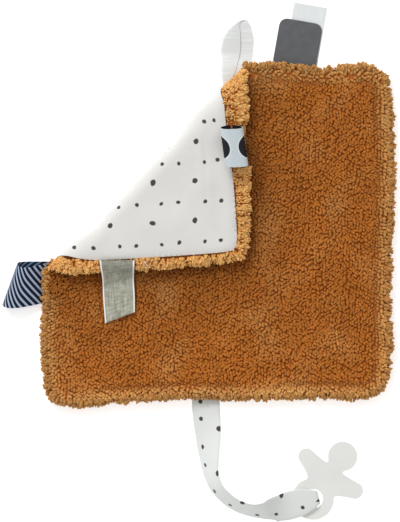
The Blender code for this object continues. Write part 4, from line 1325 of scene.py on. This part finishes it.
# %% Grey ribbon
GREY_SLANT = 8 * MM
GREY_SPACING = 1.0 * MM
GREY_NARROWING = 3.4 * MM
GREY_WAIST = 1.5 * MM
GREY_WAIST_PLACE = 13 * MM
GREY_WAIST_REACH = 9 * MM
GREY_RIM = 6.8 * MM
GREY_RIM_ROUND = 1.6 * MM
GREY_BOW = 0.25 * MM
GREY_LANDING = 15 * MM
GREY_LAST = 10 * MM
GREY_DROP = 8.6 * MM
TURN_STEPS = 6
GREY_FALL_SHARES = [(-2.6, 0.10), (0.5, 0.36), (4.0, 0.74), (6.6, 0.98)]
GREY_CREASE_SLANT = 9 * MM


def doubled(path, spread):
    """Out along the lower side of a path, round its end and back along its upper side."""
    sides = []
    for index, point in enumerate(path):
        ahead = path[min(index + 1, len(path) - 1)]
        run = (ahead - path[max(index - 1, 0)]).normalized()
        sides.append((point, Vector((-run.y, run.x)) * spread))
    end, normal = sides[-1]
    forward = Vector((normal.y, -normal.x))
    turn = [end - normal * math.cos(angle) + forward * math.sin(angle)
            for angle in (math.pi * k / TURN_STEPS for k in range(1, TURN_STEPS))]
    return ([point - normal for point, normal in sides] + turn
            + [point + normal for point, normal in reversed(sides)])


def grey_ribbon():
    """The loop, which runs level over the rim, falls to the blanket and lies flat on it."""
    half = (GREY_SPACING + RIBBON_THICKNESS) / 2
    top = -half
    floor_level = top - GREY_DROP
    rim = GREY_RIM + GREY_RIM_ROUND
    rows = []
    for share in WIDTH_SHARES:
        length = GREY_LENGTH - share * GREY_SLANT
        fall = [(rim + out * MM - share * GREY_CREASE_SLANT * down, top - GREY_DROP * down)
                for out, down in GREY_FALL_SHARES]
        route = smooth([(0, top), (GREY_RIM - HEM_RADIUS, top + GREY_BOW), *fall,
                        (rim + GREY_LANDING, floor_level), (length - GREY_LAST, floor_level),
                        (length, floor_level)], 5)
        row = []
        for out, height in doubled(route, GREY_SPACING / 2):
            narrow = GREY_NARROWING * max(0, 0.5 - share) * out / GREY_LENGTH
            narrow -= share * GREY_WAIST * math.exp(-((out - GREY_WAIST_PLACE) / GREY_WAIST_REACH) ** 2)
            row.append(grey_root + Vector((share * GREY_WIDTH + narrow, -out, height)))
        rows.append(row)
    made, length = strip("grey_ribbon", rows, WIDTH_SHARES, GREY_WIDTH, RIBBON_THICKNESS,
                         linen(GREY_WIDTH, length_of(rows[MIDDLE])))
    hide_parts("grey_ribbon_loop")
    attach(made, "grey_ribbon")


grey_ribbon()

# %% [markdown]
# The striped ribbon is a dense twill with slanting stripes of navy and pale blue. Its loop
# lies beside the blanket and stays open, so the stripes show on its outer side and, the other
# way round, on the inner side of its mouth.

# %% Striped ribbon finish
STRIPE_PITCH = 2.85 * MM
STRIPE_SLOPE_DEGREES = -49


def striped_twill(name, dark, light):
    """Twill with slanting stripes of two colours."""
    made, tree, shader = finish(name, 0.7, Specular_IOR_Level=0.15)
    where = node(tree, "ShaderNodeTexCoord").outputs["UV"]
    turned = node(tree, "ShaderNodeMapping", {
        "Vector": where, "Rotation": (0, 0, math.radians(STRIPE_SLOPE_DEGREES))})
    apart = node(tree, "ShaderNodeSeparateXYZ", {"Vector": turned.outputs[0]})
    turn = node(tree, "ShaderNodeMath", {0: apart.outputs["X"], 1: math.tau / STRIPE_PITCH},
                operation="MULTIPLY")
    wave = node(tree, "ShaderNodeMath", {0: turn.outputs[0]}, operation="SINE")
    band = node(tree, "ShaderNodeMapRange", {"Value": wave.outputs[0], "From Min": 0.12, "From Max": 0.48})
    dyed = node(tree, "ShaderNodeMix", {
        "Factor": band.outputs[0], "A": srgb(dark), "B": srgb(light)}, data_type="RGBA")
    tree.links.new(dyed.outputs["Result"], shader.inputs["Base Color"])
    bumped(tree, shader, threads(tree, where, 0.7 * MM, 0.9 * MM), 0.1 * MM, 0.6)
    return made


# %% Striped ribbon
STRIPE_WIDTH = 29 * MM
STRIPE_LENGTH = 25 * MM
STRIPE_HEIGHT = 8.8 * MM
STRIPE_FOOT = 1.0 * MM
STRIPE_LEAN_SHARE = 0.5
STRIPE_SHIFT = Vector((1.8 * MM, 1.5 * MM, 0))
STRIPE_SKEW = 6.6 * MM
STRIPE_LOW = 0.4 * MM
STRIPE_SIDE_SHARES = [
    (0.30, 0.00), (0.60, 0.00), (0.84, 0.03), (0.97, 0.14), (1.00, 0.40), (0.97, 0.74),
    (0.85, 0.97), (0.70, 0.98), (0.50, 0.78), (0.30, 0.50), (0.12, 0.22)]


def stripe_ribbon():
    """The loop, whose sections open like a mouth towards the lower edge."""
    hinge = Vector(joints["stripe_ribbon_lift"]["pos_m"])
    axis = Vector(joints["stripe_ribbon_lift"]["axis"])
    slope = axis.x / axis.y
    side = smooth([(0, 0), *[(x * STRIPE_LENGTH, z * STRIPE_HEIGHT) for x, z in STRIPE_SIDE_SHARES],
                   (0, STRIPE_FOOT)], 5)
    rows = []
    for share in WIDTH_SHARES:
        across = share * STRIPE_WIDTH
        skew = STRIPE_SKEW * (share - 0.5) / STRIPE_LENGTH
        rows.append([hinge + STRIPE_SHIFT + Vector((
            slope * across - out * (1 - skew), across - STRIPE_LEAN_SHARE * max(0, rise),
            STRIPE_LOW - hinge.z + max(0, rise))) for out, rise in side])
    made, length = strip("striped_ribbon", rows, WIDTH_SHARES, STRIPE_WIDTH, RIBBON_THICKNESS,
                         striped_twill("striped_twill", "#0D1A2E", "#AEBCD3"),
                         striped_twill("striped_twill_inside", "#0B1626", "#64809C"))
    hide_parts("stripe_ribbon_loop")
    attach(made, "stripe_ribbon")


stripe_ribbon()

# %% [markdown]
# The white loop is polyester satin. Satin floats its threads over four or more others, so it
# is smooth and shiny along one way. A little anisotropy shows it, and the colour is streaked
# along the ribbon as a painted sheen.


# %% Satin
def satin(name, code, shine):
    """White satin of this darker shade, streaked along the ribbon with painted sheen."""
    made, tree, shader = finish(name, shine, Sheen_Weight=0.2, Specular_IOR_Level=0.6, Anisotropic=0.5)
    where = node(tree, "ShaderNodeTexCoord").outputs["UV"]
    streaks_and_painted_sheen = grain(tree, where, 2 * MM, 3.0, (3.0, 0.12, 1))
    # The lighter streak colour is painted sheen; the same noise gives the bump.
    tree.links.new(ramp(tree, streaks_and_painted_sheen, (0.25, code), (0.75, "#EDEFEE")), shader.inputs["Base Color"])
    bumped(tree, shader, streaks_and_painted_sheen, 0.25 * MM, 0.5)
    return made


# %% [markdown]
# The loop is drawn as sections, from its root in the seam to its tip, because its blades open
# to one side. Each station says in millimetres how far up the picture it lies, how far right
# its fold, its front edge and its back edge are, how low it starts and how far it rises.

# %% Satin loop
SATIN_STATIONS = [
    (102.5, 6.1, 6.5, 7.5, 7.4, 0.2), (108.2, 3.9, 8.9, 10.4, 6.9, 0.6),
    (113.9, 3.1, 12.1, 14.6, 6.0, 1.2), (120.4, 2.6, 13.9, 20.4, 4.5, 1.4),
    (126.1, 2.5, 15.4, 24.6, 1.6, 1.8), (130.4, 2.5, 16.1, 25.4, 0.5, 2.0),
    (138.2, 3.8, 16.4, 26.1, 0.5, 2.2), (144.6, 6.4, 16.1, 25.1, 0.5, 2.0),
    (148.9, 10.4, 15.7, 23.9, 0.5, 1.5), (151.8, 14.6, 16.8, 22.1, 0.5, 1.0),
    (153.2, 18.2, 19.6, 21.1, 0.5, 0.6)]
SATIN_RISE_SHARES = (0.42, 0.86, 0.90, 0.45, 0.08, 0.00, 0.00)
SATIN_ROUND = 0.9 * MM
SATIN_BEND = (114 * MM, 123 * MM)


def satin_loop():
    """The loop, whose sections open to the right."""
    stations = smooth([[value * MM for value in station] for station in SATIN_STATIONS], 5)
    start, end = stations[0][0], stations[-1][0]
    rows = []
    for place, fold, lip, far, low, rise in stations:
        turned = fold + min(SATIN_ROUND, (lip - fold) / 3)
        across = (lip, (lip + fold) / 2, turned, fold, turned, (far + fold) / 2, far)
        section = smooth([(x, low + rise * share) for x, share in zip(across, SATIN_RISE_SHARES)], 5)
        rows.append([Vector((x, place, z)) for x, z in section])
    shares = [(station[0] - start) / (end - start) - 0.5 for station in stations]
    made, length = strip("satin_loop", rows, shares, end - start, RIBBON_THICKNESS,
                         satin("white_satin", "#D6D9D7", 0.35))
    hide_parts("white_satin_loop")
    near, far = SATIN_BEND
    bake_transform(made)


satin_loop()

# %% [markdown]
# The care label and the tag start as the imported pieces. A merged copy is cut into small cells
# so that it can curl, and then lifted a little towards its free end. The label is ribbed woven
# satin, and the tag is soft matt rubber with a fine leather-like grain.

# %% Label and tag
LABEL_CELL = 1.5 * MM
LABEL_LIFT = 0.6 * MM
LABEL_FLAT_SHARE = 0.2
LABEL_RIPPLE = 12 * MM
LABEL_RIPPLE_HEIGHT = 0.25 * MM
LABEL_SHIFT = Vector((0.9 * MM, 1.3 * MM, 0))
TAG_SHIFT = Vector((1.1 * MM, 1.6 * MM, 0))


def curled(name, node_name, shift, finish_material):
    """A packed flat piece, cut into cells, shifted and curled up towards its free end."""
    low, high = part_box(node_name)
    shape = bmesh.new()
    shape.from_mesh(frame["nodes"][node_name].data)
    bmesh.ops.remove_doubles(shape, verts=shape.verts, dist=MERGE)
    bmesh.ops.dissolve_limit(shape, angle_limit=math.radians(1), verts=shape.verts, edges=shape.edges)
    for axis, normal in ((0, (1, 0, 0)), (1, (0, 1, 0))):
        for step in range(1, int((high[axis] - low[axis]) / LABEL_CELL)):
            bmesh.ops.bisect_plane(
                shape, geom=shape.verts[:] + shape.edges[:] + shape.faces[:], dist=MERGE,
                plane_co=low + Vector(normal) * step * LABEL_CELL, plane_no=normal)
    uv = shape.loops.layers.uv.new("UVMap")
    for face in shape.faces:
        for loop in face.loops:
            loop[uv].uv = loop.vert.co.xy
    for vert in shape.verts:
        share = max(0, (vert.co.y - low.y) / (high.y - low.y) - LABEL_FLAT_SHARE)
        ripple = noise.noise(vert.co * Vector((1, 1, 0)) / LABEL_RIPPLE) * LABEL_RIPPLE_HEIGHT
        vert.co.z += LABEL_LIFT * share ** 2 + max(0, ripple) * share
        vert.co += shift
    made = piece(name, shape, finish_material)
    settled(made, 35)
    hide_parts(node_name)
    return made


def soft_rubber():
    """The tag's finish."""
    made, tree, shader = finish("matt_soft_rubber", 0.55, Specular_IOR_Level=0.35)
    where = node(tree, "ShaderNodeTexCoord").outputs["Object"]
    tree.links.new(ramp(tree, grain(tree, where, 5 * MM), (0.3, "#595B5E"), (0.7, "#616366")),
                   shader.inputs["Base Color"])
    cells = node(tree, "ShaderNodeTexVoronoi", {"Vector": where, "Scale": 1 / (0.7 * MM)})
    bumped(tree, shader, cells.outputs["Distance"], 0.06 * MM, 0.5)
    return made


label = curled("woven_care_label", "care_label", LABEL_SHIFT, satin("woven_label_satin", "#DFE4E5", 0.45))
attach(label, "label")
tag = curled("soft_tag", "blank_tag", TAG_SHIFT, soft_rubber())
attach(tag, "tag")
print("label and tag:", len(label.data.polygons), "and", len(tag.data.polygons), "faces")

# %% [markdown]
# The dummy strap is a tube of the same muslin, pressed flat, so it has two soft edges and a
# slight puff. It lies flat at the seam, rolls onto its edge round the bend, and comes down flat
# to the ring, where it goes down through the hole and back underneath. Each point of its route
# is its place from the seam in shares of its length, then its share of the roll onto its edge
# and its share of the height of the ring.

# %% Strap route
STRAP_WIDTH = 20 * MM
STRAP_THICKNESS = 1.8 * MM
STRAP_LENGTH = 124 * MM
STRAP_ROLL_DEGREES = 62
STRAP_ROOT = Vector(joints["strap_lift"]["pos_m"]) + Vector((0, 1.5 * MM, 0))
STRAP_FLOOR = 0.1 * MM
STRAP_END_LOW = 4.4 * MM
STRAP_UNROLLED = 7.5 * MM
STRAP_ROUTE_SHARES = [
    (0.000, 0.000, 0.00, 0.00), (0.004, -0.103, 0.12, 0.00), (0.013, -0.215, 0.38, 0.00),
    (0.017, -0.310, 0.64, 0.00), (0.023, -0.390, 0.84, 0.00), (0.034, -0.457, 0.95, 0.00),
    (0.064, -0.527, 1.00, 0.00), (0.122, -0.588, 1.00, 0.00), (0.194, -0.634, 1.00, 0.00),
    (0.269, -0.656, 0.97, 0.06), (0.336, -0.658, 0.80, 0.40), (0.387, -0.648, 0.50, 0.80)]
RING_CENTRE = Vector(joints["card_turn"]["pos_m"])
STRAP_END_DEGREES = 15
RING_RADIUS = 15 * MM
HOLE_RADIUS = 7.2 * MM
BIGHT_CENTRE = 1.27 * MM
BIGHT_RADIUS = 2.15 * MM
BIGHT_WIDTH = 10.3 * MM
BIGHT_FLARE = 1.25
BIGHT_STEPS = 10
TAIL_LENGTH = 31 * MM
TAIL_SKEW_DEGREES = 1
TAIL_WIDTH_SHARES = [(0.42, 0.88), (0.70, 0.92), (0.95, 0.90), (1.00, 0.84)]
STRAP_END_TURN = math.radians(STRAP_END_DEGREES)
STRAP_END = Vector((math.cos(STRAP_END_TURN), math.sin(STRAP_END_TURN), 0))


def strap_stations():
    """Centre, across, up and width along the strap, from the seam to the ring."""
    route = [(STRAP_ROOT.x + x * STRAP_LENGTH, STRAP_ROOT.y + y * STRAP_LENGTH,
              STRAP_FLOOR + lift * (STRAP_END_LOW - STRAP_FLOOR),
              math.radians(STRAP_ROLL_DEGREES) * roll, STRAP_WIDTH)
             for x, y, roll, lift in STRAP_ROUTE_SHARES]
    for reach, width, roll in ((-RING_RADIUS - STRAP_UNROLLED, STRAP_WIDTH, 0.2),
                               (-RING_RADIUS, STRAP_WIDTH, 0),
                               (-HOLE_RADIUS, STRAP_WIDTH * 0.95, 0),
                               (BIGHT_CENTRE, BIGHT_WIDTH * BIGHT_FLARE, 0)):
        spot = RING_CENTRE + STRAP_END * reach
        route.append((spot.x, spot.y, STRAP_END_LOW, math.radians(STRAP_ROLL_DEGREES) * roll, width))
    fine = smooth(route, 6)
    stations = []
    for index, (x, y, low, roll, width) in enumerate(fine):
        roll = max(0, roll)
        ahead = fine[min(index + 1, len(fine) - 1)]
        behind = fine[max(index - 1, 0)]
        run = Vector((ahead[0] - behind[0], ahead[1] - behind[1], 0)).normalized()
        left = Vector((-run.y, run.x, 0))
        height = low + STRAP_THICKNESS / 2 + (width - STRAP_THICKNESS) / 2 * math.sin(roll)
        stations.append((Vector((x, y, height)), left * math.cos(roll) + UP * math.sin(roll),
                         UP * math.cos(roll) - left * math.sin(roll), width))
    return stations


def bight_stations(across):
    """The turn down through the ring's hole."""
    middle = RING_CENTRE + STRAP_END * BIGHT_CENTRE
    middle.z = STRAP_FLOOR + STRAP_THICKNESS / 2 + BIGHT_RADIUS
    stations = []
    for step in range(BIGHT_STEPS + 1):
        turn = math.pi / 2 - math.pi * step / BIGHT_STEPS
        up = STRAP_END * math.cos(turn) + UP * math.sin(turn)
        stations.append((middle + up * BIGHT_RADIUS, across, up, BIGHT_WIDTH))
    return stations


def tail_stations(start, across):
    """The strap's end, which lies on the floor under the ring."""
    turn = math.radians(180 + STRAP_END_DEGREES + TAIL_SKEW_DEGREES)
    along = Vector((math.cos(turn), math.sin(turn), 0))
    widths = [(0, BIGHT_WIDTH), (0.18, BIGHT_WIDTH * BIGHT_FLARE)]
    widths += [(place, STRAP_WIDTH * share) for place, share in TAIL_WIDTH_SHARES]
    square = Vector((along.y, -along.x, 0))
    return [(start + along * TAIL_LENGTH * place, across.lerp(square, min(1, place * 5)).normalized(),
             UP, width) for place, width in smooth(widths, 4)]


# %% [markdown]
# The strap's skin is a grid whose rows go round the tube, so its UV map needs no seam: the
# grid is closed by merging its first and last columns. Its section is flat with soft rounded
# edges, and small puckers along it change its thickness.

# %% Strap
TUBE_POINTS = 20
STRAP_PRINT = (6.3 * MM, -1.2 * MM)
STRAP_PRINT_STRETCH = 1.07
PUCKER_SIZE = 4 * MM
PUCKER_SHARE = 0.10


def tube_section(width, thickness):
    """A flattened tube's section as across and up, from the middle of its underside."""
    points = []
    for step in range(TUBE_POINTS + 1):
        turn = math.tau * step / TUBE_POINTS - math.pi / 2
        x = math.copysign(abs(math.cos(turn)) ** 0.35, math.cos(turn)) * width / 2
        z = math.copysign(abs(math.sin(turn)) ** 0.8, math.sin(turn)) * thickness / 2
        points.append(Vector((x, z)))
    return points


def round_the_tube():
    """How far round the tube each point of its section is."""
    section = tube_section(STRAP_WIDTH, STRAP_THICKNESS)
    walked = [0]
    for here, ahead in zip(section, section[1:]):
        walked.append(walked[-1] + (ahead - here).length)
    return walked


def muslin_tube(name, stations, start, body, node_name):
    """A tube through stations, whose print starts this far along the strap."""
    rows = []
    walked = start
    lengths = []
    for index, (centre, across, up, width) in enumerate(stations):
        if index:
            walked += (centre - stations[index - 1][0]).length
        lengths.append(walked)
        pucker = 1 + PUCKER_SHARE * noise.noise(Vector((walked / PUCKER_SIZE, 0, 2)))
        section = tube_section(width, STRAP_THICKNESS * pucker)
        rows.append([centre + across * x + up * z for x, z in section])
    shape = bmesh.new()
    uv = shape.loops.layers.uv.new("UVMap")
    lines = len(rows) - 1
    round_tube = round_the_tube()
    bmesh.ops.create_grid(shape, x_segments=TUBE_POINTS, y_segments=lines, size=1)
    for face in shape.faces:
        for loop in face.loops:
            line = round((loop.vert.co.y + 1) / 2 * lines)
            column = round((loop.vert.co.x + 1) / 2 * TUBE_POINTS)
            loop[uv].uv = (STRAP_PRINT[0] - lengths[line] / STRAP_PRINT_STRETCH,
                           STRAP_PRINT[1] + round_tube[column])
    for vert in shape.verts:
        column = round((vert.co.x + 1) / 2 * TUBE_POINTS)
        vert.co = rows[round((vert.co.y + 1) / 2 * lines)][column]
    bmesh.ops.remove_doubles(shape, verts=shape.verts, dist=MERGE)
    open_rims = [edge for edge in shape.edges if edge.is_boundary]
    bmesh.ops.holes_fill(shape, edges=open_rims)
    made = piece(name, shape, STRAP_MUSLIN)
    settled(made, 60)
    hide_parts(node_name)
    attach(made, body)
    return made, walked - start


strap_line = strap_stations()
bight_line = bight_stations(strap_line[-1][1])
tail_line = tail_stations(bight_line[-1][0], strap_line[-1][1])
strap, strap_length = muslin_tube("strap", strap_line + bight_line[1:], 0, "dummy_strap", "strap_tube")
tail, tail_length = muslin_tube("strap_end", tail_line, strap_length, "strap_end", "strap_tail")
print("strap", round(strap_length / MM), "mm and its end", round(tail_length / MM), "mm")

# %% [markdown]
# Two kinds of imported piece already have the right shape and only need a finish: the hook and
# loop patches inside the strap, and the dummy-shaped card, which is smooth coated board.


# %% Patches and card
def hook_and_loop():
    """The patches' finish."""
    made, tree, shader = finish("hook_and_loop_tape", 0.8, Sheen_Weight=0.3)
    where = node(tree, "ShaderNodeTexCoord").outputs["Object"]
    cells = node(tree, "ShaderNodeTexVoronoi", {"Vector": where, "Scale": 1 / (0.8 * MM)})
    tree.links.new(ramp(tree, cells.outputs["Distance"], (0.1, "#F0F0EC"), (0.7, "#C8C8C2")),
                   shader.inputs["Base Color"])
    bumped(tree, shader, cells.outputs["Distance"], 0.3 * MM)
    return made


def coated_board():
    """The card's finish."""
    made, tree, shader = finish("coated_white_board", 0.38, Specular_IOR_Level=0.5, Coat_Weight=0.15,
                                Coat_Roughness=0.3)
    where = node(tree, "ShaderNodeTexCoord").outputs["Object"]
    tree.links.new(ramp(tree, grain(tree, where, 18 * MM), (0.3, "#E8E9E4"), (0.7, "#EDEEE9")),
                   shader.inputs["Base Color"])
    bumped(tree, shader, grain(tree, where, 0.5 * MM), 0.02 * MM, 0.5)
    return made


def dress(made, *node_names):
    """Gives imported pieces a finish."""
    for name in node_names:
        packed = frame["nodes"][name]
        packed.data.materials.clear()
        packed.data.materials.append(made)


dress(hook_and_loop(), "strap_hook_patch", "strap_loop_patch")
dress(coated_board(), "dummy_card")
print("patches and card keep their packed shapes")

# %% [markdown]
# The paper under the blanket gives a little light of its own, as over a light table.

# %% White paper
PAPER_GLOW = 0.45
PAPER, _, paper_shader = finish("white_paper", 0.9, Specular_IOR_Level=0.2)
paper_shader.inputs["Base Color"].default_value = srgb("#F8F8F7")
paper_shader.inputs["Emission Color"].default_value = (1, 1, 1, 1)
paper_shader.inputs["Emission Strength"].default_value = PAPER_GLOW
floor.data.materials.append(PAPER)
print("paper under", floor.name, "glows", PAPER_GLOW)

# %% [markdown]
# A loose end of white thread lies on the corner's lower hem, as on most hand-finished pieces.

# %% Loose thread
LOOSE_THREAD = [(-52.6 * MM, -19.4 * MM, 16.9 * MM), (-51.8 * MM, -21.0 * MM, 17.4 * MM),
                (-50.2 * MM, -22.6 * MM, 17.2 * MM), (-48.9 * MM, -24.8 * MM, 16.4 * MM)]
THREAD_RADIUS = 0.28 * MM

thread = thread_run("loose_thread", [smooth(LOOSE_THREAD, 5)], THREAD_RADIUS,
                    spun_thread("white_cotton_thread", "#E4DFD4", "#F6F4EE"))
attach(thread, "corner_flap")
print("loose thread has", len(thread.data.polygons), "faces")

# %% [markdown]
# The last cell measures what was made against the imported part.

# %% Sizes and finish
visual_box = [list(corner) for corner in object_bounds()]
grown = [[round((v - c) / MM, 1) for v, c in zip(*pair)] for pair in zip(visual_box, cad_box)]
print("visual box past the CAD box in mm:", grown)
